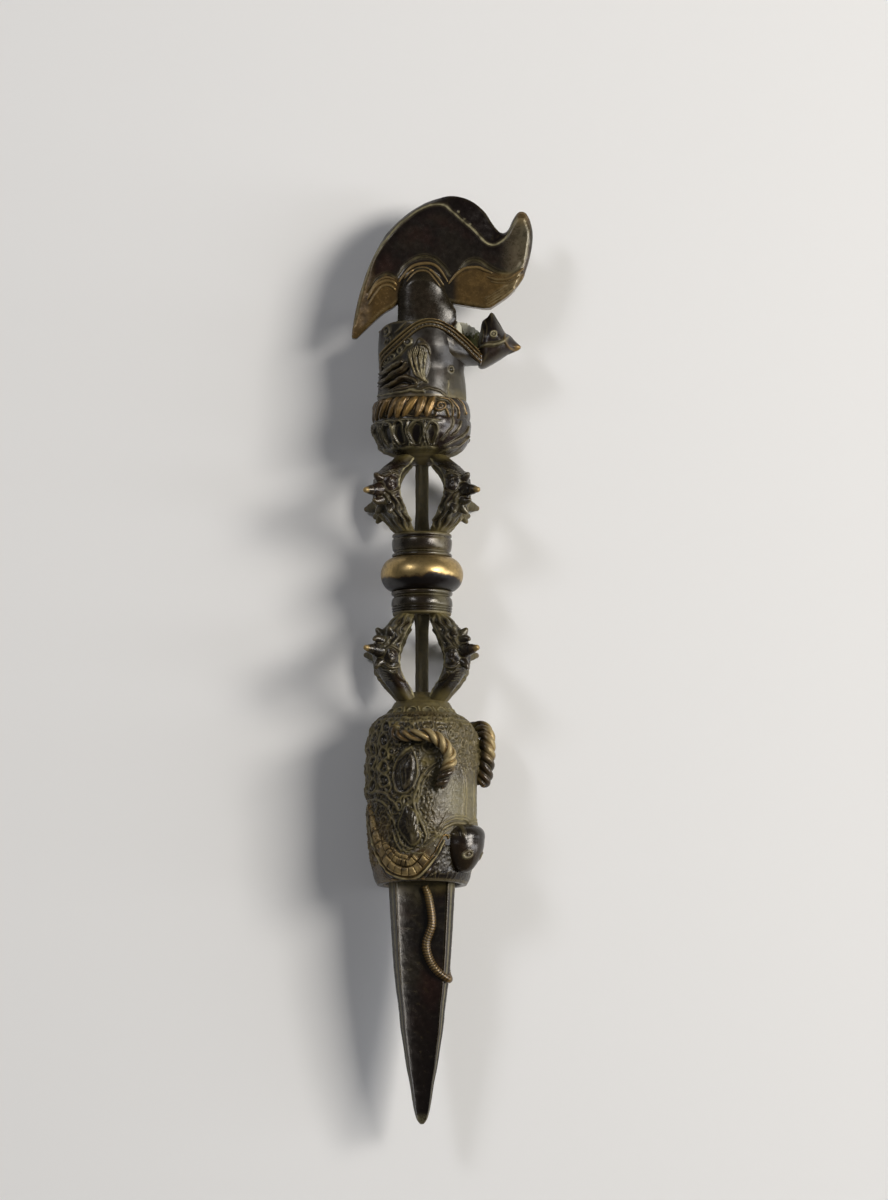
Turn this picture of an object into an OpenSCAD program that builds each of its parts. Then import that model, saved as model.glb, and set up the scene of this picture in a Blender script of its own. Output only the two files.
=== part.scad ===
// Three-edged ritual dagger with a crescent chopper on top.
// Every piece is modelled upright on the axis of its core rod, tip down and front
// towards -Y, and is then laid on its back: tip towards -Y, front upwards.
// Turns are degrees round the axis, from the front towards the right.

/* [Blade] */
// Length of the three-edged blade below the lower head
blade_l = 76; // [50:1:110]
// Distance from the axis to the flat land along each edge
blade_r = 10.9; // [9:0.1:11.5]
// Width of the land along each edge, at the head
blade_land = 4.4; // [2:0.1:6]
// Depth of the hollow along each face, at the head
blade_hollow = 1.5; // [0.4:0.1:2]
// Length of the blade's root inside the lower head
root_l = 18; // [12:0.5:26]
// Radius of the blade's root
root_r = 5; // [4:0.1:5.8]
// Thickness of the serpent on the blade
serpent_d = 2.8; // [1.6:0.1:3.6]

/* [Core] */
// Side of the square rod that carries the whole stack
rod_side = 3.6; // [2.8:0.1:4.2]
// Turn of the rod's square about the axis
rod_turn = 20; // [0:5:45]
// Gap all round the rod in its square holes
rod_gap = 0.05; // [0.02:0.01:0.15]
// Radius of the two cross pins
pin_r = 0.8; // [0.5:0.1:1]

/* [Lower head] */
// Length of the lower head
head_l = 55.5; // [48:0.5:70]
// Radius of the lower head at its widest
head_r = 17.4; // [16.5:0.1:18.3]
// Depth of the mouth that the blade stands in
mouth_deep = 4; // [2:0.5:8]
// Turn of the lower snout
snout_turn = 60; // [40:5:80]
// How far the lower snout stands out from the head
snout_reach = 4.6; // [3:0.1:6]
// Height of the lower snout above the mouth's edge
snout_rise = 11; // [9:0.5:16]
// Thickness of the twisted horns
horn_d = 5.2; // [3.6:0.1:6]
// How far the twisted horns stand out from the head
horn_reach = 6.4; // [5:0.1:7.4]
// Turn of each horn from the middle of the snout
horn_turn = 42; // [38:1:50]
// Height of raised carving over the surface that it stands on
carving_h = 1; // [0.5:0.1:1.3]
// Height of the ring between the lower head and the grip
neck_l = 2.5; // [2.2:0.1:5]

/* [Grip] */
// Length of the lower cage
lower_cage_l = 28; // [25:0.5:36]
// Length of the upper cage
upper_cage_l = 25; // [24:0.5:34]
// Distance from the axis to the backs of the prongs
prong_out = 19.2; // [17:0.1:20.5]
// Distance from the axis to the tips of the prongs' noses
nose_out = 25.7; // [24.6:0.1:28]
// Height of the noses, measured from the collar
nose_rise = 12; // [10.5:0.5:13]
// Thickness of each prong, outwards
prong_t = 5; // [3.6:0.1:5.6]
// Width of each prong at its middle
prong_w = 8.3; // [6:0.1:9.4]
// Radius of both collars
collar_r = 9.6; // [9.4:0.1:11]
// Height of each collar
collar_l = 7.5; // [5:0.1:10]
// Radius of the knob
knob_r = 13.1; // [11:0.1:15]
// Height of the knob
knob_l = 11; // [8:0.1:14]

/* [Upper head] */
// Height of the lotus bulb
lotus_l = 10.5; // [9:0.5:16]
// Radius of the lotus bulb
lotus_r = 16; // [15:0.1:17.5]
// Height of the ring of hair locks
hair_l = 7.5; // [5:0.1:10]
// Thickness of the ring of hair locks, outwards
hair_t = 4.6; // [3.6:0.1:5.2]
// Radius of the upper head
crown_r = 14; // [13.6:0.1:15]
// Height of the upper head, from the hair to the top of its lips
crown_l = 25; // [22:0.1:30]
// How far the lips dip at the left and at the right
lip_dip = 9.4; // [6:0.1:11]
// Height of the lip band
lip_h = 4; // [2.5:0.1:5]
// Wall of the upper head round its open mouth
mouth_wall = 2.2; // [1.6:0.1:3]
// How far the beak reaches from the axis
beak_reach = 31.6; // [30:0.1:34]
// Half the width of the neck that carries the beaked snout, where it leaves the head
neck_half = 6.4; // [5:0.1:6.8]

/* [Chopper] */
// Width of the stem that stands in the upper mouth
stem_w = 16.8; // [14:0.1:18]
// Thickness of the stem
stem_t = 11; // [10:0.1:12.5]
// Height of the crescent's lower edge over the mouth's floor
slot_rise = 14.6; // [12:0.1:20]
// Height of the crescent, from its lower edge to its crest
crescent_h = 36.4; // [30:0.1:44]
// Reach of the hooked end to the right of the axis
crescent_right = 35.3; // [32:0.1:40]
// Reach of the pointed end to the left of the axis
crescent_left = 22.4; // [20:0.1:26]
// Thickness of the crescent inside its bevelled edge
crescent_t = 5.6; // [4:0.1:7]
// Thickness of the crescent along its bevelled edge
crescent_edge_t = 2.4; // [1:0.1:3.6]
// Height of the raised cloud borders on both faces of the crescent
cloud_h = 0.7; // [0.3:0.1:1.2]

/* [Hidden] */
$fn = 64;

// Colours of the patinated bronze, its worn parts and the brass knob
bronze = "#3b3128";
worn = "#7d6138";
brass = "#a68347";

// Clearance between a piece and what it is seated in or on
seat = 0.05;
// Overlap of two shapes that are joined into one solid
join = 0.5;

// Heights of the stack along the axis, from the blade's tip
z_head = blade_l;
z_root = z_head + mouth_deep;
z_neck = z_head + head_l;
z_lower_cage = z_neck + neck_l;
z_lower_collar = z_lower_cage + lower_cage_l;
z_knob = z_lower_collar + collar_l;
z_upper_collar = z_knob + knob_l;
z_upper_cage = z_upper_collar + collar_l;
z_lotus = z_upper_cage + upper_cage_l;
z_hair = z_lotus + lotus_l;
z_crown = z_hair + hair_l;
z_lips = z_crown + crown_l;
// Floor of the open mouth, under the lowest part of the lips
z_mouth = z_lips - lip_dip - 1;
z_crescent = z_mouth + slot_rise;
z_crest = z_crescent + crescent_h;

// The rod runs from a socket in the blade's root to one in the stem
socket_floor = 3;
stem_socket = 6;
z_rod_low = z_root + socket_floor;
z_rod_high = z_mouth + stem_socket;
z_lower_pin = z_root + (root_l + socket_floor) / 2;
z_upper_pin = (z_crown + z_mouth) / 2;
// How far a pin and its hole run past the rod
pin_past = 1.2;

// Place of the four tenons that hold a cage's prongs
foot_in = 4.4;
tenon = 2.6;
tenon_deep = 1.7;
tenon_r = foot_in + prong_t / 2;
prong_turns = [-45, 45, -135, 135];

// The noses of the back prongs carry the dagger where it lies
nose_r = 2.4;
rest_h = (nose_out - nose_r) * sin(45) + nose_r;
mid_x = (crescent_right - crescent_left) / 2;

// Lays an upright piece on its back
module laid() {
    translate([-mid_x, -z_crest / 2, rest_h]) rotate([-90, 0, 0]) children();
}

// Turns a shape that faces the front to another side
module turned(turn) {
    rotate([0, 0, turn]) children();
}

// Smooth curve through the points p, in n steps from each to the next
function curve(p, n) = [
    for (i = [0:len(p) - 2]) for (k = [0:n - 1])
        let (
            t = k / n,
            a = p[max(i - 1, 0)], b = p[i], c = p[i + 1], d = p[min(i + 2, len(p) - 1)]
        )
        b + (c - a) * t / 2 + (2 * a - 5 * b + 4 * c - d) * t * t / 2
            + (3 * b - a - 3 * c + d) * t * t * t / 2,
    p[len(p) - 1]
];

function unit(v) = v / norm(v);

// How much a tube narrows at its ends
end_taper = 0.35;

// Direction of a turn, square to the axis
function outward(turn) = [sin(turn), -cos(turn), 0];

// Triangles between rings of points that have the same number of sides
function skin(rings, sides) = [
    for (i = [0:rings - 2]) for (k = [0:sides - 1])
        let (m = (k + 1) % sides)
        each [
            [i * sides + k, (i + 1) * sides + m, i * sides + m],
            [i * sides + k, (i + 1) * sides + k, (i + 1) * sides + m]
        ]
];

// The two ends that close such a skin
function ends(rings, sides) = [
    [for (k = [0:sides - 1]) k],
    [for (k = [0:sides - 1]) rings * sides - 1 - k]
];

// Tube along a path, narrower at its ends, plain or with strands twisted round it.
// It keeps one side towards the axis. The bulge is a share of the radius.
module tube(path, radius, sides, narrow, strands = 0, bulge = 0, twist = 0) {
    n = len(path);
    points = [
        for (i = [0:n - 1])
            let (
                along = unit(path[min(i + 1, n - 1)] - path[max(i - 1, 0)]),
                away = unit([path[i][0], path[i][1], 0]),
                side = unit(cross(along, away)),
                up = cross(side, along),
                taper = 1 - narrow * pow(abs(2 * i / (n - 1) - 1), 5)
            )
            for (k = [0:sides - 1])
                let (
                    a = 360 * k / sides,
                    r = radius * taper * (1 - bulge + bulge * cos(strands * a + twist * i))
                )
                path[i] + r * (side * cos(a) + up * sin(a))
    ];
    polyhedron(points, concat(ends(n, sides), skin(n, sides)));
}

// Square bar on the axis that fits the rod, larger by a gap on each side
module bar(low, high, gap) {
    side = rod_side + 2 * gap;
    rotate([0, 0, rod_turn]) translate([-side / 2, -side / 2, low]) cube([side, side, high - low]);
}

// Round bar from behind through the rod, for a pin or its hole
module cross_bar(height, reach, radius, past) {
    translate([0, -rod_side / 2 - past, height]) rotate([-90, 0, 0])
        cylinder(h = reach + rod_side / 2 + past, r = radius, $fn = 32);
}

// Sockets for the four prongs' tenons in a face that looks up (1) or down (-1)
module sockets(face, looks) {
    side = tenon + 2 * seat;
    low = looks > 0 ? face - tenon_deep - seat : face - join;
    for (turn = prong_turns) turned(turn)
        translate([-side / 2, -tenon_r - side / 2, low])
            cube([side, side, tenon_deep + seat + join]);
}

// Almond with a pointed top and bottom
module almond(w, h) {
    side = [for (v = [-1:0.25:1]) [w / 2 * (1 - v * v), h / 2 * v]];
    other = [for (v = [0.75:-0.25:-0.75]) [-w / 2 * (1 - v * v), h / 2 * v]];
    polygon(concat(side, other));
}

// Prism from the axis outwards with an almond's outline, for carving on a round body
module almond_ray(turn, height, w, h, lean) {
    turned(turn) translate([0, 0, height]) rotate([90, 0, 0]) rotate([0, 0, lean])
        linear_extrude(height = 2 * head_r) almond(w, h);
}

// Share of the blade's full width at a share of its length
blade_taper = [
    [0, 0.05], [0.013, 0.13], [0.033, 0.19], [0.085, 0.276], [0.163, 0.36], [0.24, 0.47],
    [0.32, 0.556], [0.4, 0.646], [0.48, 0.7], [0.56, 0.777], [0.64, 0.84], [0.72, 0.885],
    [0.87, 0.95], [1, 1]
];
function taper(z) = lookup(z / blade_l, blade_taper);

// Distance from the axis to a face's flat, and half the width of that face
face_d = blade_r * cos(60) + blade_land / 2 * sin(60);
face_half = blade_r * sin(60) - blade_land / 2 * cos(60);
edge_turns = [60, 180, 300];

// Half outline of the hollow across a face, from one land to the next
face_steps = [-1, -0.7, -0.35, 0, 0.35, 0.7, 1];
function face_depth(v) = face_d - blade_hollow * (1 - v * v);

module blade_body() {
    heights = [for (s = blade_taper) s[0] * blade_l];
    levels = concat(heights, [z_root]);
    per_ring = 3 * len(face_steps);
    rings = [
        for (z = levels) for (turn = [0, 120, 240]) for (v = face_steps)
            let (
                s = taper(min(z, blade_l)),
                across = v * face_half * s,
                out = face_depth(v) * s
            )
            [across * cos(turn) + out * sin(turn), across * sin(turn) - out * cos(turn), z]
    ];
    polyhedron(rings, concat(ends(len(levels), per_ring), skin(len(levels), per_ring)));
}

module blade() {
    color(bronze) difference() {
        union() {
            blade_body();
            translate([0, 0, z_root - join]) cylinder(h = root_l + join, r = root_r);
        }
        bar(z_rod_low - seat, z_root + root_l + join, rod_gap);
        cross_bar(z_lower_pin, root_r + join, pin_r + seat, pin_past + seat);
    }
}

// Middle of the serpent over a face of the blade, at a share v across it
function on_face(turn, v, z) =
    let (
        s = taper(z),
        across = v * face_half * s,
        out = face_depth(v) * s + serpent_d / 2 + seat
    )
    [across * cos(turn) + out * sin(turn), across * sin(turn) - out * cos(turn), z];

// Middle of the serpent over the right land of the blade
function on_land(z) =
    outward(edge_turns[0]) * (blade_r * taper(z) + serpent_d / 2 + seat) + [0, 0, z];

serpent_front = [[0.1, 0.985], [0.28, 0.93], [0.4, 0.83], [0.18, 0.745], [0.34, 0.68], [0.72, 0.63]];
serpent_side = [[-0.74, 0.63], [-0.55, 0.7], [-0.4, 0.77], [-0.56, 0.86], [-0.42, 0.98]];
serpent_low = 0.6;

module serpent() {
    points = concat(
        [for (p = serpent_front) on_face(0, p[0], p[1] * blade_l)],
        [on_land(serpent_low * blade_l)],
        [for (p = serpent_side) on_face(120, p[0], p[1] * blade_l)]
    );
    path = curve(points, 4);
    color(worn) difference() {
        tube(path, serpent_d / 2, 10, end_taper);
        blade_body();
    }
}

module core_rod() {
    color(bronze) difference() {
        bar(z_rod_low, z_rod_high, 0);
        for (height = [z_lower_pin, z_upper_pin])
            cross_bar(height, rod_side, pin_r + seat, pin_past);
    }
}

// Outline of the lower head, as shares of its radius and of its length
head_outline = [
    [0.8, 0], [0.9, 0.1], [0.97, 0.25], [1, 0.45], [1, 0.75], [0.97, 0.88], [0.88, 0.925],
    [0.76, 0.96], [0.66, 1]
];

module head_body(extra) {
    side = [for (p = curve(head_outline, 3)) [p[0] * head_r + extra, z_head + p[1] * head_l]];
    rotate_extrude() polygon(concat([[0, z_head]], side, [[0, z_neck]]));
}

// Ears and cheeks carved on both sides of the lower head
ears = [[67, 0.66, 7, 14, -8], [66, 0.37, 6.4, 12, 6], [100, 0.72, 5, 9, 20], [100, 0.5, 5, 9, -10]];

module lower_head() {
    color(bronze) difference() {
        union() {
            head_body(0);
            intersection() {
                head_body(carving_h);
                union() for (ear = ears) for (side = [-1, 1])
                    almond_ray(snout_turn + side * ear[0], z_head + ear[1] * head_l, ear[2], ear[3],
                        side * ear[4]);
            }
        }
        translate([0, 0, z_head - join]) cylinder(h = mouth_deep + join, r = blade_r + 1);
        translate([0, 0, z_root - join]) cylinder(h = root_l + seat + join, r = root_r + seat);
        bar(z_root + root_l, z_neck + join, rod_gap);
        cross_bar(z_lower_pin, 2 * head_r, pin_r + seat, 0);
    }
}

// Lips and teeth round the lower mouth: lowest at the sides, higher in front of the snout
lip_low = 1.2;
lip_rise = 14;
lower_lip_h = 2;
tooth_w = 3.2;
tooth_h = 4.2;
teeth = 4;

// Height of a curved edge at a distance across the mouth
function swell(across, radius) = pow(abs(across) / radius, 1.4);

// Wall of a mouth's band, seen from its side: between two curved edges
module band_outline(radius, low, high, rise) {
    steps = [-1.2:0.1:1.2];
    polygon(concat(
        [for (v = steps) [v * radius, low + rise * swell(v, 1)]],
        [for (v = steps) [-v * radius, high + rise * swell(v, 1)]]
    ));
}

module lower_jaw() {
    color(worn) difference() {
        intersection() {
            head_body(carving_h);
            union() {
                turned(snout_turn - 90) translate([0, head_r * 1.2, 0]) rotate([90, 0, 0])
                    linear_extrude(height = 2.4 * head_r)
                        band_outline(head_r, z_head + lip_low, z_head + lip_low + lower_lip_h, lip_rise);
                for (side = [-90, 90]) for (i = [-teeth:teeth])
                    let (step = i * tooth_w / head_r * 180 / PI)
                    almond_ray(
                        snout_turn + side + step * 1.1,
                        z_head + lip_low + lower_lip_h + lip_rise * swell(sin(step), 1) + tooth_h / 3,
                        tooth_w, tooth_h, 0
                    );
            }
        }
        head_body(seat);
        snout_shape(seat);
    }
}

// Smooth dome of the lower snout, from its nose up to its brow
snout_big = 5.6;
snout_small = 4.2;

module snout_shape(extra) {
    out = head_r + snout_reach - snout_big;
    low = z_head + snout_rise;
    turned(snout_turn) hull() {
        translate([0, -out, low]) sphere(r = snout_big + extra, $fn = 28);
        translate([0, 1.6 - out, low + 5.2]) sphere(r = snout_small + extra, $fn = 28);
        translate([0, 0.6 - out, low - 3.6]) sphere(r = snout_small - 1 + extra, $fn = 28);
    }
}

module lower_snout() {
    color(bronze) difference() {
        snout_shape(0);
        head_body(seat);
    }
}

// Middle of a twisted horn: turn from its own middle, height as a share, standing out
horn_route = [
    [56, 0.87, 0], [34, 0.895, 0.45], [10, 0.885, 0.85], [-1, 0.84, 1], [-4, 0.77, 1],
    [-3, 0.69, 0.75], [1, 0.6, 0.3]
];
strands = 3;
strand_bulge = 0.16;
strand_turn = 42;

module horn(side) {
    path = [
        for (p = curve(horn_route, 5))
            outward(snout_turn + side * (horn_turn + p[0]))
                * (head_r + p[2] * (horn_reach - horn_d / 2))
                + [0, 0, z_head + p[1] * head_l]
    ];
    color(worn) difference() {
        tube(path, horn_d / 2, 18, end_taper, strands, strand_bulge, side * strand_turn);
        head_body(seat);
    }
}

module lower_horn_left() horn(-1);
module lower_horn_right() horn(1);

module lower_pin() {
    color(bronze) intersection() {
        cross_bar(z_lower_pin, head_r, pin_r, pin_past);
        head_body(-seat);
    }
}

// Cap between the lower head and the cage, with a border of small petals round it
neck_petals = 12;

module neck_ring() {
    low_r = head_outline[len(head_outline) - 1][0] * head_r;
    color(bronze) difference() {
        union() {
            translate([0, 0, z_neck]) cylinder(h = neck_l * 0.6, r1 = low_r, r2 = collar_r + 0.6);
            translate([0, 0, z_neck]) cylinder(h = neck_l, r = collar_r);
        }
        bar(z_neck - join, z_lower_cage + join, rod_gap);
        sockets(z_lower_cage, 1);
        for (i = [0:neck_petals - 1]) turned(360 * i / neck_petals)
            translate([0, -(low_r + collar_r) / 2 - 0.6, z_neck + neck_l * 0.75]) sphere(r = 0.9);
    }
}

// Outline of a prong over the distance from its collar: back, then inner face
foot_half = 2.5;

module prong_side(l) {
    back = [
        [foot_in + prong_t, 0], [0.78 * prong_out, 0.2 * l], [0.95 * prong_out, 0.36 * l],
        [prong_out, nose_rise + 2.5], [0.93 * prong_out, 0.66 * l], [0.7 * prong_out, 0.85 * l],
        [foot_in + prong_t - 0.8, l]
    ];
    inner = [
        [foot_in, l], [0.7 * prong_out - prong_t * 0.9, 0.83 * l],
        [prong_out - prong_t - 0.6, 0.62 * l], [prong_out - prong_t, nose_rise + 1],
        [0.88 * prong_out - prong_t, 0.27 * l], [foot_in, 0]
    ];
    polygon(concat(curve(back, 3), curve(inner, 3)));
}

module prong_front(l) {
    half = [[foot_half, 0], [0.8 * prong_w / 2, 0.2 * l], [prong_w / 2, nose_rise], [foot_half, l]];
    one = curve(half, 4);
    polygon(concat(one, [for (i = [len(one) - 1:-1:0]) [-one[i][0], one[i][1]]]));
}

// A prong facing the front with its collar end at height 0 and its plain end upwards:
// a sea monster's head with a blunt nose, ears and a mane, and the plain horn it spits out
module prong(l) {
    color(bronze) {
        intersection() {
            rotate([90, 0, -90]) translate([0, 0, -prong_w]) linear_extrude(height = 2 * prong_w)
                prong_side(l);
            rotate([90, 0, 0]) linear_extrude(height = 2 * nose_out) prong_front(l);
        }
        intersection() {
            union() {
                translate([0, -(nose_out - nose_r), nose_rise]) sphere(r = nose_r);
                translate([0, -(nose_out - nose_r), nose_rise]) rotate([-80, 0, 0])
                    cylinder(h = nose_out - prong_out + prong_t / 2 - nose_r, r1 = nose_r, r2 = 1.3 * nose_r);
                for (side = [-1, 1]) {
                    translate([side * prong_w * 0.36, -prong_out + 1.4, nose_rise - 3.4]) sphere(r = 1.5);
                    translate([side * prong_w * 0.36, -prong_out + 3.6, nose_rise - 6.6]) sphere(r = 1.6);
                }
            }
            translate([-prong_w, -nose_out, 0]) cube([2 * prong_w, nose_out - foot_in, l]);
        }
        for (low = [-tenon_deep, l - join])
            translate([-tenon / 2, -tenon_r - tenon / 2, low]) cube([tenon, tenon, tenon_deep + join]);
    }
}

// Prongs of the lower cage rise to their collar, those of the upper cage stand on it
module lower_prong(turn) {
    turned(turn) translate([0, 0, z_lower_collar]) mirror([0, 0, 1]) prong(lower_cage_l);
}

module upper_prong(turn) {
    turned(turn) translate([0, 0, z_upper_cage]) prong(upper_cage_l);
}

module lower_prong_front_left() lower_prong(prong_turns[0]);
module lower_prong_front_right() lower_prong(prong_turns[1]);
module lower_prong_back_left() lower_prong(prong_turns[2]);
module lower_prong_back_right() lower_prong(prong_turns[3]);
module upper_prong_front_left() upper_prong(prong_turns[0]);
module upper_prong_front_right() upper_prong(prong_turns[1]);
module upper_prong_back_left() upper_prong(prong_turns[2]);
module upper_prong_back_right() upper_prong(prong_turns[3]);

// Outline of a collar, as shares of its radius and height, from the cage to the knob
collar_outline = [
    [0.98, 0], [1, 0.08], [0.94, 0.16], [0.96, 0.24], [0.9, 0.32], [0.88, 0.5],
    [0.9, 0.64], [0.98, 0.72], [1, 0.84], [0.98, 1]
];

// Collar on the axis with the cage below it and the knob above
module collar() {
    difference() {
        rotate_extrude() polygon(concat(
            [[0, 0]], [for (p = collar_outline) [p[0] * collar_r, p[1] * collar_l]], [[0, collar_l]]
        ));
        bar(-join, collar_l + join, rod_gap);
        sockets(0, -1);
    }
}

module lower_collar() {
    color(bronze) translate([0, 0, z_lower_collar]) collar();
}

module upper_collar() {
    color(bronze) translate([0, 0, z_upper_cage]) mirror([0, 0, 1]) collar();
}

module knob() {
    step = 15;
    rim = [
        for (a = [-90:step:90])
            [knob_r - knob_l / 2 + knob_l / 2 * cos(a), z_knob + knob_l / 2 * (1 + sin(a))]
    ];
    color(brass) difference() {
        rotate_extrude() polygon(concat([[0, z_knob]], rim, [[0, z_upper_collar]]));
        bar(z_knob - join, z_upper_collar + join, rod_gap);
    }
}

// Outline of the lotus bulb, as shares of its radius and height
lotus_outline = [
    [0.62, 0], [0.65, 0.06], [0.73, 0.2], [0.82, 0.38], [0.9, 0.58], [0.95, 0.8], [0.97, 1]
];
petals = 16;
petal_out = 0.6;
// The spigot on the bulb that the ring of hair sits round
spigot_r = lotus_r * 0.96 - hair_t - 0.3;

module lotus_body(extra) {
    side = [for (p = curve(lotus_outline, 3)) [p[0] * lotus_r + extra, z_lotus + p[1] * lotus_l]];
    rotate_extrude() polygon(concat([[0, z_lotus]], side, [[0, z_hair]]));
}

module lotus_bulb() {
    petal_w = 2 * PI * lotus_r / petals * 0.86;
    color(bronze) difference() {
        union() {
            lotus_body(0);
            translate([0, 0, z_hair - join]) cylinder(h = hair_l + join, r = spigot_r);
            intersection() {
                lotus_body(petal_out);
                union() for (i = [0:petals - 1])
                    almond_ray(360 * (i + 0.5) / petals, z_lotus + lotus_l * 0.42,
                        petal_w, lotus_l * 0.78, 0);
            }
        }
        bar(z_lotus - join, z_crown + join, rod_gap);
        sockets(z_lotus, -1);
    }
}

// Ring of hair locks: a flattened ring with slanted swellings round it
locks = 22;
lock_slant = 1.5;
lock_swell = 0.55;

module hair_ring() {
    around = 132;
    section = 12;
    middle_r = spigot_r + seat + hair_t / 2;
    points = [
        for (i = [0:around - 1]) for (k = [0:section - 1])
            let (
                u = 360 * i / around,
                v = 360 * k / section,
                outer = max(0, cos(v)),
                swell_out = lock_swell * outer * cos(locks * u + lock_slant * v),
                flat = hair_l / 2 * max(-1, min(1, 1.25 * sin(v))),
                out = middle_r + hair_t / 2 * max(-1, 1.15 * cos(v) - 0.15) + swell_out
            )
            [out * sin(u), -out * cos(u), z_hair + hair_l / 2 + flat]
    ];
    closing = [for (face = skin(around + 1, section)) [for (p = face) p % (around * section)]];
    color(worn) polyhedron(points, closing);
}

// Outline of the upper head, as shares of its radius and height
crown_outline = [[0.98, 0], [1, 0.1], [1, 0.5], [0.98, 0.75], [0.95, 1]];

module crown_body(extra) {
    side = [for (p = curve(crown_outline, 3)) [p[0] * crown_r + extra, z_crown + p[1] * crown_l]];
    rotate_extrude() polygon(concat([[0, z_crown]], side, [[0, z_lips]]));
}

// Everything under the lips' edge, or the band that is lip_h high under it
module under_lips(height) {
    translate([0, crown_r * 1.2, 0]) rotate([90, 0, 0]) linear_extrude(height = 2.4 * crown_r)
        band_outline(crown_r, z_lips - height, z_lips, -lip_dip);
}

// The mane behind the mouth's left corner: strands swept back round the head
mane = [[-58, 0.4, 3, 11, 66], [-52, 0.26, 3, 11, 66], [-46, 0.12, 3.2, 12, 72], [-4, 0.41, 6, 12, 0]];

module upper_head() {
    color(bronze) difference() {
        intersection() {
            union() {
                crown_body(0);
                intersection() {
                    crown_body(carving_h);
                    translate([0, 0, -lip_h - seat]) under_lips(2 * crown_l);
                    union() for (lock = mane) for (side = [0, 180])
                        almond_ray(side == 0 ? lock[0] : 180 - lock[0], z_crown + lock[1] * crown_l,
                            lock[2], lock[3], side == 0 ? lock[4] : -lock[4]);
                }
            }
            under_lips(2 * crown_l);
        }
        translate([0, 0, z_mouth]) cylinder(h = crown_l, r = crown_r - mouth_wall);
        bar(z_crown - join, z_mouth + join, rod_gap);
        cross_bar(z_upper_pin, 2 * crown_r, pin_r + seat, pin_past + seat);
        snout_tenon(seat);
    }
}

module upper_lips() {
    color(bronze) difference() {
        intersection() {
            crown_body(carving_h);
            under_lips(lip_h);
        }
        crown_body(seat);
        neck_shape(seat);
        translate([0, -neck_half - seat, z_crown])
            cube([2 * crown_r, 2 * (neck_half + seat), z_mouth - z_crown]);
    }
}

// Neck and head of the upper snout, which points to the right
snout_start = 17.8;

// The neck is an open gutter: its far side stands up as the monster's upper jaw
gutter_half = 3.8;
gutter_wall = 1.4;
gutter_high = 12;
gutter_low = 8.4;

module neck_shape(extra) {
    low = z_mouth - 3.6 - extra;
    high = z_mouth + 2.4 + extra;
    wall = gutter_wall + 2 * extra;
    hull() {
        translate([crown_r - 4, -neck_half - extra, low + 0.6])
            cube([1, 2 * (neck_half + extra), high - low - 1]);
        translate([snout_start, -gutter_half, low - 0.4])
            cube([1.6, 2 * gutter_half, high - low + 2]);
    }
    hull() {
        translate([crown_r - 3, neck_half - gutter_wall - extra, z_mouth])
            cube([1, wall, gutter_high + extra]);
        translate([snout_start, gutter_half - gutter_wall - extra, z_mouth])
            cube([1.6, wall, gutter_low + extra]);
    }
}

module snout_tenon(extra) {
    translate([crown_r - 5 - extra, 0, z_mouth - 2]) rotate([0, 90, 0])
        cylinder(h = 6, r = 1.3 + extra, $fn = 32);
}

module upper_snout() {
    // Side view of the crested and beaked head, as distances from its start and the mouth's floor
    full = beak_reach - snout_start;
    head_side = [
        [0, -3.7], [0.14, -4.2], [0.64, 0], [1, 2.2], [0.74, 6.1], [0.6, 7.2], [0.32, 13.8],
        [0.1, 10.6], [0, 7]
    ];
    beak = [for (p = head_side) [snout_start + p[0] * full, z_mouth + p[1]]];
    middle = [for (p = head_side) [snout_start + (0.12 + p[0] * 0.62) * full, z_mouth + 1.4 + p[1] * 0.55]];
    color(bronze) union() {
        difference() {
            neck_shape(0);
            crown_body(seat);
        }
        snout_tenon(0);
        hull() {
            translate([0, 0.6, 0]) rotate([90, 0, 0]) linear_extrude(height = 1.2) polygon(beak);
            translate([0, 4.4, 0]) rotate([90, 0, 0]) linear_extrude(height = 8.8) polygon(middle);
        }
    }
}

module upper_pin() {
    color(bronze) intersection() {
        cross_bar(z_upper_pin, crown_r, pin_r, pin_past);
        crown_body(-seat);
    }
}

// The stem: a flattened post, forked at its top round the crescent's foot
fork_deep = 4;
foot_w = stem_w - 2.4;
stem_arch = 13;
stem_shoulder = 7.5;

module chopper_stem() {
    arch = [
        for (v = [-1:0.125:1])
            [v * (stem_w / 2 + join), z_crescent + stem_arch - (stem_arch - stem_shoulder) * v * v]
    ];
    color(bronze) difference() {
        intersection() {
            translate([0, 0, z_mouth]) union() {
                height = z_crescent + stem_arch - z_mouth;
                for (side = [-1, 1]) translate([side * (stem_w - stem_t) / 2, 0, 0])
                    cylinder(h = height, r = stem_t / 2);
                translate([-(stem_w - stem_t) / 2, -stem_t / 2, 0])
                    cube([stem_w - stem_t, stem_t, height]);
            }
            translate([0, stem_t, 0]) rotate([90, 0, 0]) linear_extrude(height = 2 * stem_t)
                polygon(concat([[stem_w, z_mouth], [-stem_w, z_mouth]], arch));
        }
        translate([-stem_w, -crescent_t / 2 - seat, z_crescent - fork_deep - seat])
            cube([2 * stem_w, crescent_t + 2 * seat, 2 * stem_arch + fork_deep]);
        bar(z_mouth - join, z_rod_high + seat, rod_gap);
    }
}

// A point of the crescent, from shares of its reach to either side and of its height
function at(p) = [p[0] * (p[0] < 0 ? crescent_left : crescent_right), z_crescent + p[1] * crescent_h];

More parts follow.
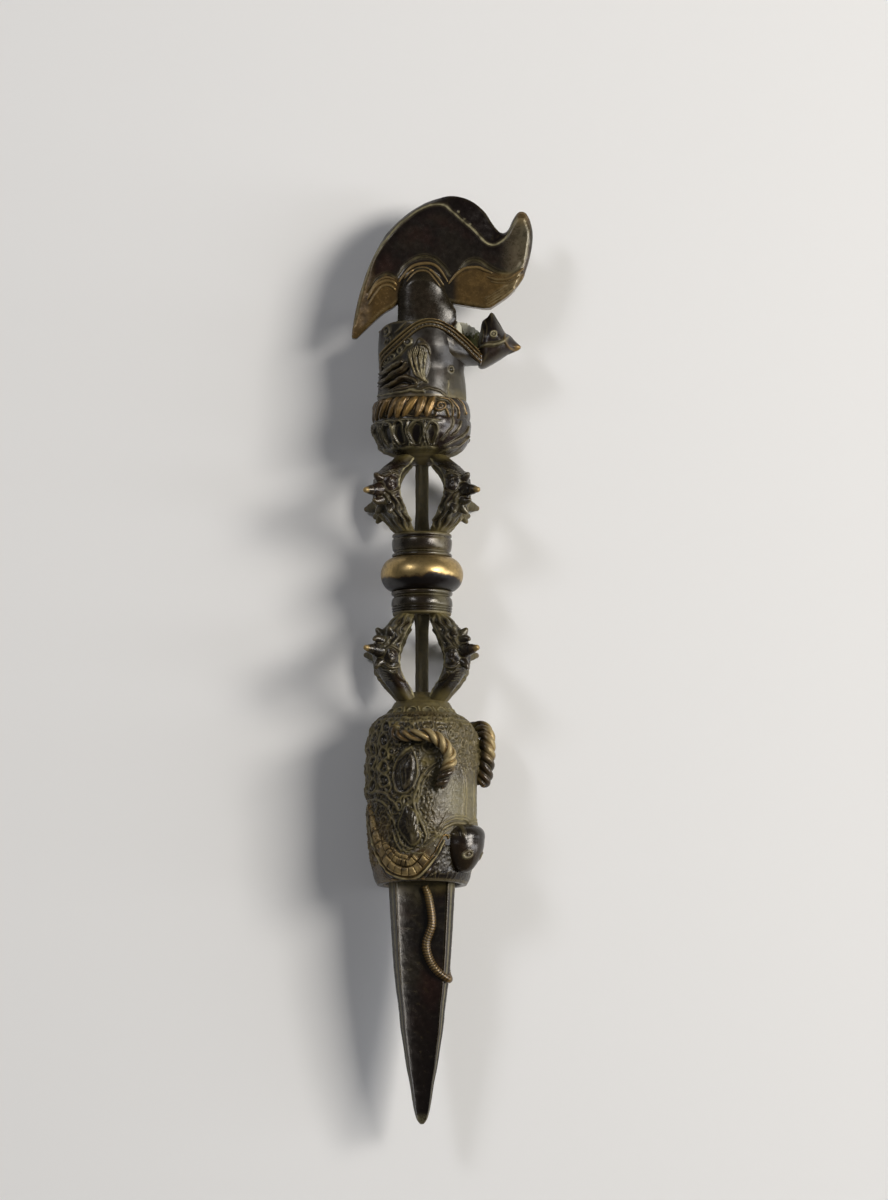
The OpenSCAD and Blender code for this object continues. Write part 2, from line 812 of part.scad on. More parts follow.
outer_edge = [
    [-1, -0.26], [-0.985, -0.16], [-0.94, 0], [-0.87, 0.17], [-0.74, 0.4], [-0.545, 0.63],
    [-0.31, 0.79], [-0.01, 0.92], [0.175, 0.985], [0.29, 1], [0.435, 0.96], [0.56, 0.865],
    [0.645, 0.74], [0.705, 0.675]
];
hook_edge = [
    [0.74, 0.67], [0.78, 0.705], [0.82, 0.79], [0.87, 0.855], [0.935, 0.85], [0.98, 0.765],
    [1, 0.645], [0.98, 0.49], [0.935, 0.335], [0.9, 0.25], [0.785, 0.118], [0.62, 0.005]
];
right_under = [[0.56, 0], [0.425, 0.02], [0.31, 0.04]];
left_under = [[-0.41, 0.01], [-0.545, -0.04], [-0.7, -0.125], [-0.835, -0.206], [-0.93, -0.264]];
bevel_line = [
    [-0.96, -0.14], [-0.88, 0.08], [-0.8, 0.27], [-0.68, 0.46], [-0.5, 0.62], [-0.27, 0.77],
    [0.02, 0.895], [0.14, 0.92], [0.22, 0.9], [0.29, 0.84], [0.436, 0.72], [0.548, 0.61],
    [0.607, 0.565], [0.67, 0.565], [0.747, 0.61], [0.8, 0.7], [0.86, 0.8]
];
bevel_right = [[0.93, 0.79], [0.965, 0.645], [0.945, 0.49], [0.9, 0.335]];

// The crescent's foot between its two lower edges, which stands in the fork
function foot() =
    let (high = z_crescent + 0.06 * crescent_h, low = z_crescent - fork_deep)
    [[foot_w / 2, high], [foot_w / 2, low], [-foot_w / 2, low], [-foot_w / 2, high]];

module plate(thickness, outline) {
    translate([0, thickness / 2, 0]) rotate([90, 0, 0]) linear_extrude(height = thickness)
        polygon(outline);
}

module chopper_crescent() {
    under = concat(
        [for (p = right_under) at(p)], foot(), [for (p = curve(left_under, 2)) at(p)]
    );
    full = concat([for (p = curve(outer_edge, 3)) at(p)], [for (p = curve(hook_edge, 3)) at(p)], under);
    thick = concat(
        [for (p = curve(bevel_line, 3)) at(p)], [for (p = curve(bevel_right, 3)) at(p)],
        [at([0.76, 0.125]), at([0.6, 0.02])], under
    );
    color(bronze) union() {
        plate(crescent_edge_t, full);
        plate(crescent_t, thick);
    }
}

// Raised borders of the clouds on both faces, to the left and right of the stem
border_w = 1.8;
cloud_gap = 0.4;

module cloud(line) {
    low = [for (i = [len(line) - 1:-1:0]) line[i] - [0, border_w]];
    for (side = [-1, 1])
        translate([0, side * (crescent_t / 2 + cloud_h / 2 + seat) + cloud_h / 2, 0])
            rotate([90, 0, 0]) linear_extrude(height = cloud_h) polygon(concat(line, low));
}

module crescent_clouds() {
    start = stem_w / 2 + cloud_gap;
    left = concat([for (p = curve([[-0.82, 0.04], [-0.7, 0.17], [-0.5, 0.215]], 4)) at(p)],
        [[-start, z_crescent + 0.165 * crescent_h]]);
    right = concat([[start, z_crescent + 0.22 * crescent_h]],
        [for (p = curve([[0.31, 0.27], [0.37, 0.33], [0.49, 0.355], [0.585, 0.285], [0.7, 0.26],
            [0.8, 0.29], [0.87, 0.35]], 3)) at(p)]);
    color(worn) {
        cloud(left);
        cloud(right);
    }
}

laid() blade();
laid() serpent();
laid() core_rod();
laid() lower_head();
laid() lower_jaw();
laid() lower_snout();
laid() lower_horn_left();
laid() lower_horn_right();
laid() lower_pin();
laid() neck_ring();
laid() lower_prong_front_left();
laid() lower_prong_front_right();
laid() lower_prong_back_left();
laid() lower_prong_back_right();
laid() lower_collar();
laid() knob();
laid() upper_collar();
laid() upper_prong_front_left();
laid() upper_prong_front_right();
laid() upper_prong_back_left();
laid() upper_prong_back_right();
laid() lotus_bulb();
laid() hair_ring();
laid() upper_head();
laid() upper_lips();
laid() upper_snout();
laid() upper_pin();
laid() chopper_stem();
laid() chopper_crescent();
laid() crescent_clouds();
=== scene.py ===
"""Ritual dagger of patinated bronze with a crescent chopper: the looks over the packed solids."""

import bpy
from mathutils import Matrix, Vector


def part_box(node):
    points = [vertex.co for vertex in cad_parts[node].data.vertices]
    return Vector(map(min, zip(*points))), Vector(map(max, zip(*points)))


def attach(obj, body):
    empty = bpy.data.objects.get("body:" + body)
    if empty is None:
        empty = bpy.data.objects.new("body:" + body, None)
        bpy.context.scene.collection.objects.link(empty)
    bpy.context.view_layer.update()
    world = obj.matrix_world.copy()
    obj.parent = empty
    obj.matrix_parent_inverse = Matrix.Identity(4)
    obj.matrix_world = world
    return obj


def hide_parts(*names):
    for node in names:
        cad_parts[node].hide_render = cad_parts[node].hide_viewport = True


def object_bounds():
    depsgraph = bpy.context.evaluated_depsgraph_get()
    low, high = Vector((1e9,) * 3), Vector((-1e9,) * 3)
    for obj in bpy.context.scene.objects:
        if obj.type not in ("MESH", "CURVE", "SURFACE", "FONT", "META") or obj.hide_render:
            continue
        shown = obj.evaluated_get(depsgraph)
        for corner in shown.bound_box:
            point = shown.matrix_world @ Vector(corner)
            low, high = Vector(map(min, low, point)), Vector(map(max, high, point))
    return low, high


bl_info = {
    "name": "Ritual dagger",
    "version": (1, 0, 0),
    "blender": (4, 5, 0),
    "location": "View3D > Sidebar > Dagger",
    "description": "Carved bronze dagger with a three-edged blade, two cages and a crescent",
    "category": "Add Mesh",
}

from functools import partial
from math import cos, pi, radians, sin

import bpy
import numpy as np
from bpy.props import FloatProperty, FloatVectorProperty, IntProperty, PointerProperty

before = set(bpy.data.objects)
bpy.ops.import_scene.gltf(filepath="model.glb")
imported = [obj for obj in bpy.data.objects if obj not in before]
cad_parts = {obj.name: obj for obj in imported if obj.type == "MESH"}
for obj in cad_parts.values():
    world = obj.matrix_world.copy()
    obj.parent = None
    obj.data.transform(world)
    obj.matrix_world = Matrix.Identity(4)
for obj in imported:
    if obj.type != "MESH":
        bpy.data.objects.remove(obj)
cad_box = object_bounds()

MM = 0.001
BODY = "root"


def linear(hex_colour, alpha=True):
    """An sRGB hex colour as linear values."""
    parts = [int(hex_colour[i : i + 2], 16) / 255 for i in (1, 3, 5)]
    values = [p / 12.92 if p <= 0.04045 else ((p + 0.055) / 1.055) ** 2.4 for p in parts]
    return tuple(values + [1.0]) if alpha else tuple(values)


def node_box(node):
    """Lowest and highest corner of a solid of the frame, in mm."""
    low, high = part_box(node)
    return np.array(low) / MM, np.array(high) / MM


# The dagger's axis runs along Y. The knob is round, so its middle is on the axis.
AXIS_X = sum(c[0] for c in node_box("knob")) / 2
AXIS_Z = sum(c[2] for c in node_box("knob")) / 2
TIP_Y = node_box("blade")[0][1]


def height_of(node, end):
    """Height of a solid's lower (0) or upper (1) end over the blade's tip, in mm."""
    return float(node_box(node)[end][1] - TIP_Y)


# Heights of the stack over the tip, in mm
Z_HEAD = height_of("lower_head", 0)
Z_NECK = height_of("lower_head", 1)
Z_LOWER_CAGE = height_of("neck_ring", 1)
Z_LOWER_COLLAR = height_of("lower_collar", 0)
Z_KNOB = height_of("knob", 0)
Z_UPPER_COLLAR = height_of("knob", 1)
Z_UPPER_CAGE = height_of("upper_collar", 1)
Z_LOTUS = height_of("lotus_bulb", 0)
Z_HAIR = height_of("hair_ring", 0)
Z_CROWN = height_of("hair_ring", 1)
CRESCENT_H = 36.4
Z_CRESCENT = height_of("chopper_crescent", 1) - CRESCENT_H
Z_MOUTH = height_of("chopper_stem", 0)


def upright(turn, out, height):
    """Places by the axis in mm (right, height, front) from turns in degrees: front 0, right 90."""
    a = np.radians(turn)
    return np.stack(np.broadcast_arrays(out * np.sin(a), height, out * np.cos(a)), -1)


def laid(points):
    """Places by the axis in mm as world places in metres."""
    return (np.asarray(points, float) + [AXIS_X, TIP_Y, AXIS_Z]) * MM


def place(turn, out, height):
    return laid(upright(turn, out, height))


def place_flat(right, height, front):
    return laid(np.stack(np.broadcast_arrays(right, height, front), -1))


def turned(turn, side, out):
    """Distances right and in front of the axis, from distances aside and out, turned by degrees."""
    a = radians(turn)
    return out * sin(a) + side * cos(a), out * cos(a) - side * sin(a)


def size_mm(name, description, default, low, high):
    """A length that the user can change, given in mm."""
    return FloatProperty(name=name, description=description, default=default * MM, min=low * MM,
        max=high * MM, unit="LENGTH")


class DaggerSizes(bpy.types.PropertyGroup):
    """Sizes of the visible forms that a maker would change"""

    blade_land: size_mm("Blade land", "Width of the flat land along each edge of the blade", 4.4, 2, 6)
    blade_hollow: size_mm("Blade hollow", "Depth of the hollow along each face of the blade", 1.5, 0.4, 2)
    serpent_d: size_mm("Serpent", "Thickness of the serpent on the blade", 2.8, 1.6, 3.6)
    carving: size_mm("Carving", "Height of the carved lines over their ground", 0.8, 0.2, 1)
    horn_d: size_mm("Horn", "Thickness of the twisted horns of the lower head", 4.1, 3.6, 6)
    locks: IntProperty(name="Hair locks", description="Number of locks round the upper head", default=28,
        min=12, max=36)
    petals: IntProperty(name="Lotus petals", description="Number of petals round the lotus bulb",
        default=18, min=8, max=24)


def tint(name, description, hex_colour):
    """A colour that the user can change."""
    return FloatVectorProperty(name=name, description=description, subtype="COLOR", size=4, min=0, max=1,
        default=linear(hex_colour))


class DaggerColours(bpy.types.PropertyGroup):
    """Colours of the bronze, its wear and what has settled on it"""

    patina: tint("Patina", "Dark skin of oxide and wax on the old bronze", "#17120e")
    patina_red: tint("Reddish patina", "Reddish brown where the skin is cuprite", "#2e1710")
    patina_pale: tint("Thin patina", "Olive brown where the skin is thin", "#3b3424")
    # Painted shade as well as dark patina: nearly black red on the bevel, and painted in hollows, gaps and
    # shaded sides
    deep: tint("Deep patina", "Nearly black red on the bevel and in deep hollows", "#0d0604")
    bare: tint("Rubbed relief", "Raised lines where the skin is rubbed thin", "#7d7050")
    worn: tint("Worn bronze", "Bronze rubbed bare by hands", "#a17f45")
    dust: tint("Settled dust", "Olive dust and wax in the hollows", "#5c5126")
    # Pale dust in lines, and also painted highlights and sheen
    chalk: tint("Pale residue", "Pale dust packed into engraved lines", "#a89f78")
    brass: tint("Brass", "Rubbed brass of the knob", "#b09766")
    verdigris: tint("Verdigris", "Pale green inside the upper mouth", "#66703c")
    crust: tint("Crust", "White crust on the edge of the upper mouth", "#dcdac8")
    floor: tint("Floor", "Plain pale floor", "#d6d3cd")


# Shapes in code

def curve(points, steps):
    """Smooth line through the points, in a number of steps from each to the next."""
    p = np.asarray(points, float)
    p = np.vstack([p[:1], p, p[-1:]])
    t = np.linspace(0, 1, steps, endpoint=False)[:, None]
    runs = []
    for a, b, c, d in zip(p[:-3], p[1:-2], p[2:-1], p[3:]):
        runs.append(b + (c - a) * t / 2 + (2 * a - 5 * b + 4 * c - d) * t**2 / 2
            + (3 * b - a - 3 * c + d) * t**3 / 2)
    return np.vstack(runs + [p[-2:-1]])


def unit(rows):
    """Directions, each one long."""
    return rows / np.linalg.norm(rows, axis=-1)[..., None]


def run_of(line):
    """How far along a line each of its points is."""
    return np.concatenate([[0], np.cumsum(np.linalg.norm(np.diff(line, axis=0), axis=1))])


def ease(low, high, values):
    """0 below low, 1 above high and smooth between them."""
    t = np.clip((values - low) / (high - low), 0, 1)
    return t * t * (3 - 2 * t)


def ridge(off, half):
    """1 in the middle of a line and 0 from half its width on, rounded like a cord."""
    return np.clip(1 - (off / half) ** 2, 0, 1)


def bell(off, wide):
    return np.exp(-((off / wide) ** 2))


def read_line(line, at, by=0):
    """A line's second coordinate at places of its first, or its first at places of its second."""
    line = np.asarray(line, float)
    return np.interp(at, line[:, by], line[:, 1 - by])


def ripple(x, y, size, seed):
    """Smooth unevenness from -1 to 1 over x and y, with swells about as wide as size."""
    rng = np.random.default_rng(seed)
    total = np.zeros(np.broadcast(x, y).shape)
    waves = 7
    for _ in range(waves):
        angle, phase = rng.uniform(0, 2 * pi, 2)
        pitch = 2 * pi / (size * rng.uniform(0.7, 1.8))
        total += np.sin((x * cos(angle) + y * sin(angle)) * pitch + phase)
    return total / waves


def inside_of(closed, x, y):
    """Whether places x and y lie inside a closed line."""
    inside = np.zeros(np.shape(x), bool)
    for (x0, y0), (x1, y1) in zip(closed, np.roll(closed, -1, axis=0)):
        if y0 != y1:
            crosses = (y0 > y) != (y1 > y)
            inside ^= crosses & (x < (x1 - x0) * (y - y0) / (y1 - y0) + x0)
    return inside


class Carving:
    """Raised and sunk strokes over an unwrapped surface: x runs across and y up it, in mm.

    Paint, such as gold or dust, goes on with a stroke and is kept for the material."""

    def __init__(self, x, y, depth=1.0, wrap=None, askew=1.0):
        self.depth = depth
        # No hand cuts quite straight or evenly, so places are read a little askew
        self.x = x + askew * (0.7 * ripple(x, y, 5, 7) + 0.12 * ripple(x, y, 1.6, 8))
        self.y = y + askew * (0.7 * ripple(x, y, 5.4, 9) + 0.12 * ripple(x, y, 1.7, 10))
        self.wrap = wrap
        self.hand = 1 + 0.6 * ripple(x, y, 2.6, 12)
        self.left_on = np.clip(0.8 + 1.1 * ripple(x, y, 3.4, 13), 0.2, 1.2)
        self.pads, self.lines, self.cuts = (np.zeros(x.shape) for _ in range(3))
        self.paint = {key: np.zeros(x.shape) for key in ("gold", "dust", "deep", "chalk", "clean")}

    def away(self, x, y):
        dx = self.x - x
        if self.wrap:
            dx = (dx + self.wrap / 2) % self.wrap - self.wrap / 2
        return dx, self.y - y

    def reach(self, points):
        """Distance to a line through the points, and how far along it the nearest place is."""
        points = np.asarray(points, float)
        lengths = np.hypot(*(points[1:] - points[:-1]).T)
        whole = max(lengths.sum(), 1e-6)
        best = np.full(self.x.shape, 1e6)
        along = np.zeros(self.x.shape)
        done = 0
        for (x0, y0), (x1, y1), length in zip(points[:-1], points[1:], lengths):
            dx, dy = self.away(x0, y0)
            ex, ey = x1 - x0, y1 - y0
            t = np.clip((dx * ex + dy * ey) / (length**2 + 1e-9), 0, 1)
            d = np.hypot(dx - t * ex, dy - t * ey)
            nearer = d < best
            best = np.where(nearer, d, best)
            along = np.where(nearer, (done + t * length) / whole, along)
            done += length
        return best, along

    def lay(self, share, height, paint, flat=False):
        """Raises the surface by a share of a height, or sinks it where the height is negative.

        Heights are shares of the carving's depth."""
        height = height * self.depth
        if height < 0:
            self.cuts = np.maximum(self.cuts, -height * share)
        elif flat:
            self.pads = np.maximum(self.pads, height * share)
        else:
            self.lines = np.maximum(self.lines, height * share * self.hand)
        for key, amount in paint.items():
            kept = 1 if key in ("clean", "deep") else self.left_on
            self.paint[key] = np.maximum(self.paint[key], amount * share * kept)

    def stroke(self, points, width, height, thin=0.5, steps=5, **paint):
        """A rounded line, raised, or sunk where its height is negative, thinner at its ends."""
        line = curve(points, steps) if steps > 1 and len(points) > 2 else points
        d, along = self.reach(line)
        half = width / 2 * (1 - thin * np.abs(2 * along - 1) ** 3)
        self.lay(ridge(d, half), height, paint)

    def pad(self, outline, height, edge, steps=4, **paint):
        """A cushion with a closed outline, its height reached at a distance from its edge."""
        closed = curve(list(outline) + [outline[0]], steps)
        d, _ = self.reach(closed)
        share = np.where(inside_of(closed - closed[0], *self.away(*closed[0])), np.clip(d / edge, 0, 1), 0)
        self.lay(np.sqrt(1 - (1 - share) ** 2), height, paint, flat=True)

    def leaf(self, x, y, w, h, lean, height, power=1.0, **paint):
        """An almond-shaped pad, leaning by an angle in degrees."""
        dx, dy = self.away(x, y)
        c, s = cos(radians(lean)), sin(radians(lean))
        u, v = dx * c - dy * s, dx * s + dy * c
        half = w / 2 * np.clip(1 - (2 * v / h) ** 2, 0, 1) ** power
        share = np.clip(1 - np.abs(u) / np.maximum(half, 1e-6), 0, 1)
        share = np.where(np.abs(v) < h / 2, np.sqrt(1 - (1 - share) ** 2), 0)
        self.lay(share, height, paint, flat=True)

    def ring(self, x, y, radius, width, height, **paint):
        self.lay(ridge(2 * (np.hypot(*self.away(x, y)) - radius), width), height, paint)

    def curl(self, x, y, radius, turns, start, width, height, way=1, **paint):
        """A spiral that winds in from a radius, starting at an angle in degrees."""
        t = np.linspace(0, 1, int(14 * turns) + 2)
        angle = np.radians(start) + way * t * turns * 2 * pi
        r = radius * (1 - 0.86 * t)
        points = np.stack([x + r * np.cos(angle), y + r * np.sin(angle)], -1)
        self.stroke(points, width, height, thin=0.2, steps=1, **paint)

    def scrolls(self, where, size, seed, height, **paint):
        """Fine winding lines that fill the ground between the larger forms."""
        free = where * (1 - np.clip(self.paint["clean"] + 2.5 * self.lines, 0, 1))
        winding = np.clip(1 - 7 * np.abs(ripple(self.x, self.y, size, seed)), 0, 1)
        self.lay(winding * free, height, paint)

    def total(self):
        return self.pads + self.lines - self.cuts

    def paints(self, **ground):
        """The paint for the material, over a ground that clean strokes keep free of dust."""
        fields = {key: value.copy() for key, value in self.paint.items() if key != "clean"}
        for key, value in ground.items():
            kept = value * (1 - self.paint["clean"]) if key == "dust" else value
            fields[key] = np.maximum(fields[key], kept)
        return fields


# Meshes

def deselect():
    """Nothing selected: an operator acts on all that is."""
    if bpy.context.object and bpy.context.object.mode != "OBJECT":
        bpy.ops.object.mode_set(mode="OBJECT")
    for made in bpy.context.selected_objects:
        made.select_set(False)


def choose(piece):
    deselect()
    piece.select_set(True)
    bpy.context.view_layer.objects.active = piece


def named(name):
    """The object that was just added or joined, under its name."""
    piece = bpy.context.object
    piece.name = piece.data.name = name
    return piece


def set_fields(piece, **fields):
    """Keeps values per point of the mesh, for its material."""
    attributes = piece.data.attributes
    for name, values in fields.items():
        field = attributes.get(name) or attributes.new(name, "FLOAT", "POINT")
        values = np.broadcast_to(np.ravel(values), len(piece.data.vertices))
        field.data.foreach_set("value", np.ascontiguousarray(values, np.float32))


def get_field(piece, name):
    values = np.zeros(len(piece.data.vertices), np.float32)
    if name in piece.data.attributes:
        piece.data.attributes[name].data.foreach_get("value", values)
    return values


def points_of(piece):
    values = np.empty(3 * len(piece.data.vertices))
    piece.data.vertices.foreach_get("co", values)
    return values.reshape(-1, 3)


def move_points(piece, points):
    piece.data.vertices.foreach_set("co", np.ascontiguousarray(points, np.float32).ravel())
    piece.data.update()


def open_mesh(piece, action="SELECT", kind="VERT"):
    """Edit mode, with all of the mesh selected or none of it."""
    choose(piece)
    bpy.ops.object.mode_set(mode="EDIT")
    bpy.ops.mesh.select_mode(type=kind)
    bpy.ops.mesh.select_all(action=action)


def turn_outwards():
    """Turns all faces of the open mesh outwards and leaves edit mode."""
    bpy.ops.mesh.select_all(action="SELECT")
    bpy.ops.mesh.normals_make_consistent(inside=False)
    bpy.ops.object.mode_set(mode="OBJECT")


def drop_uv_maps(piece):
    while piece.data.uv_layers:
        piece.data.uv_layers.remove(piece.data.uv_layers[0])


def close_up(piece, gap=0.004):
    """Merges the seams and poles of a mesh and turns its faces outwards."""
    open_mesh(piece)
    bpy.ops.mesh.remove_doubles(threshold=gap * MM)
    bpy.ops.mesh.dissolve_degenerate(threshold=gap * MM / 4)
    turn_outwards()
    bpy.ops.object.shade_smooth()


def skin(name, points, **fields):
    """A grid drawn over rows of points. Rows or columns that end where they start are closed up."""
    rows, columns = points.shape[:2]
    deselect()
    bpy.ops.mesh.primitive_grid_add(x_subdivisions=columns - 1, y_subdivisions=rows - 1, size=2,
        location=(0, 0, 0))
    piece = named(name)
    if len(piece.data.vertices) != rows * columns:
        raise ValueError(f"{name}: the grid has {len(piece.data.vertices)} points")
    drop_uv_maps(piece)
    move_points(piece, points)
    set_fields(piece, **{key: np.broadcast_to(values, (rows, columns)) for key, values in fields.items()})
    close_up(piece)
    return piece


def shell(name, turn, out, height, below, above, **paint):
    """A closed shell round the axis: an outer wall, and rings (radius, height) that close its ends."""
    turn, out, height = np.broadcast_arrays(turn, out, height)
    lows, highs = ([place(turn[:1], r, h) for r, h in rings] for rings in (below, above))
    spare = ((len(below), len(above)), (0, 0))
    fields = {k: np.pad(np.broadcast_to(v, turn.shape), spare, mode="edge") for k, v in paint.items()}
    return skin(name, np.concatenate(lows + [place(turn, out, height)] + highs), **fields)


def joined(parts, name):
    """Several shapes as one piece."""
    deselect()
    for part in parts:
        part.select_set(True)
    bpy.context.view_layer.objects.active = parts[0]
    if len(parts) > 1:
        bpy.ops.object.join()
    return named(name)


def edge_ends(mesh):
    """The first and the last point of each edge."""
    ends = np.empty(2 * len(mesh.edges), np.int64)
    mesh.edges.foreach_get("vertices", ends)
    return ends.reshape(-1, 2).T


def neighbours_mean(piece, rounds):
    """Each point's place after rounds of being drawn half-way to the middle of its neighbours."""
    a, b = edge_ends(piece.data)
    n = len(piece.data.vertices)
    count = np.maximum(np.bincount(a, minlength=n) + np.bincount(b, minlength=n), 1)
    places = points_of(piece)
    for _ in range(rounds):
        total = np.stack([np.bincount(a, places[b, k], n) + np.bincount(b, places[a, k], n)
            for k in range(3)], -1)
        places = (places + total / count[:, None]) / 2
    return places


def smooth_points(piece, rounds):
    move_points(piece, neighbours_mean(piece, rounds))


def read_relief(piece, rounds):
    """Keeps how far each point stands out of (above 0) or lies in (below 0) its surroundings, in mm."""
    normals = np.empty(3 * len(piece.data.vertices))
    piece.data.vertices.foreach_get("normal", normals)
    proud = ((points_of(piece) - neighbours_mean(piece, rounds)) * normals.reshape(-1, 3)).sum(1)
    set_fields(piece, relief=proud / MM)


def solid_of(parts, name, voxel, rounds=2):
    """Joins closed shapes into one skin by a voxel remesh, and smooths the steps out of it."""
    piece = joined(parts, name)
    remesh = piece.modifiers.new("one skin", "REMESH")
    remesh.mode = "VOXEL"
    remesh.voxel_size = voxel * MM
    bpy.ops.object.modifier_apply(modifier=remesh.name)
    smooth_points(piece, rounds)
    bpy.ops.object.shade_smooth()
    return piece


def keep_biggest(piece):
    """Deletes loose crumbs of a remeshed piece."""
    open_mesh(piece, "DESELECT")
    bpy.ops.object.mode_set(mode="OBJECT")
    mesh = piece.data
    a, b = edge_ends(mesh)
    label = np.arange(len(mesh.vertices))
    while True:
        low = np.minimum(label[a], label[b])
        new = label.copy()
        np.minimum.at(new, a, low)
        np.minimum.at(new, b, low)
        new = new[new]
        if (new == label).all():
            break
        label = new
    names, sizes = np.unique(label, return_counts=True)
    crumbs = label != names[sizes.argmax()]
    if crumbs.any():
        mesh.vertices.foreach_set("select", crumbs)
        bpy.ops.object.mode_set(mode="EDIT")
        bpy.ops.mesh.delete(type="VERT")
        bpy.ops.object.mode_set(mode="OBJECT")


def tube_points(path, radius, sides=12, flat=1.0, up_hint=None):
    """Rows of points round a path, in mm. The radius may be one value or one per point.

    Flat squashes the section towards the surface that the path runs on."""
    path = np.asarray(path, float)
    radius = np.broadcast_to(radius, len(path))
    along = unit(np.gradient(path, axis=0))
    if up_hint is None:
        up_hint = path * [1, 0, 1]
    up_hint = np.broadcast_to(up_hint, path.shape)
    side = np.cross(along, up_hint)
    side /= np.maximum(np.linalg.norm(side, axis=1), 1e-9)[:, None]
    up = np.cross(side, along)
    a = np.linspace(0, 2 * pi, sides + 1)[None, :, None]
    rows = path[:, None] + radius[:, None, None] * (
        side[:, None] * np.cos(a) + flat * up[:, None] * np.sin(a))
    first = np.repeat(path[:1, None], sides + 1, 1)
    last = np.repeat(path[-1:, None], sides + 1, 1)
    return np.concatenate([first, rows, last])


def by_frame(piece):
    """Each point's distance right of the axis, its height and its distance in front, in mm."""
    return (points_of(piece) / MM - [AXIS_X, TIP_Y, AXIS_Z]).T


def by_axis(piece):
    """Turn, distance from the axis and height of each point of a piece, in degrees and mm."""
    right, height, front = by_frame(piece)
    return np.degrees(np.arctan2(right, front)), np.hypot(right, front), height


def finish_piece(piece, material, *nodes, rounds):
    """Gives a piece its finish and says what it rides on and which solids it stands for."""
    if len(piece.data.polygons) == 0:
        raise ValueError(f"{piece.name} has no faces")
    read_relief(piece, rounds)
    piece.data.materials.clear()
    piece.data.materials.append(bpy.data.materials[material])
    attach(piece, BODY)
    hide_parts(*nodes)


# Materials

def node(tree, kind, inputs=(), out=0, **settings):
    """Adds a node. Each input is a value, or the socket that feeds it. Gives one of its outputs."""
    made = tree.nodes.new("ShaderNode" + kind)
    for key, value in settings.items():
        setattr(made, key, value)
    for key, value in inputs.items() if isinstance(inputs, dict) else enumerate(inputs):
        if isinstance(value, bpy.types.NodeSocket):
            tree.links.new(value, made.inputs[key])
        else:
            made.inputs[key].default_value = value
    return made.outputs[out] if made.outputs else made


def overlaid(tree, colour, layers):
    """A colour with others laid over it, each by its share."""
    for share, over in layers:
        colour = node(tree, "Mix", {0: share, 6: colour, 7: over}, 2, data_type="RGBA")
    return colour


def new_material(name, look):
    material = bpy.data.materials.new(name)
    material.use_nodes = True
    material.node_tree.nodes.clear()
    material.diffuse_color = look
    return material.node_tree


def noises(tree, *kinds):
    """Object coordinates, and noises on them with swells of so many mm, with so much fine detail."""
    where = node(tree, "TexCoord", out="Object")
    return [where] + [node(tree, "TexNoise", {"Vector": where, "Scale": 1 / (size * MM), "Detail": 5.0,
        "Roughness": rough}) for size, rough in kinds]


def finished(tree, colour, rough, metal, bump):
    """The surface and the material's output."""
    shader = node(tree, "BsdfPrincipled", {"Base Color": colour, "Roughness": rough, "Metallic": metal,
        "Normal": bump})
    node(tree, "OutputMaterial", {"Surface": shader})


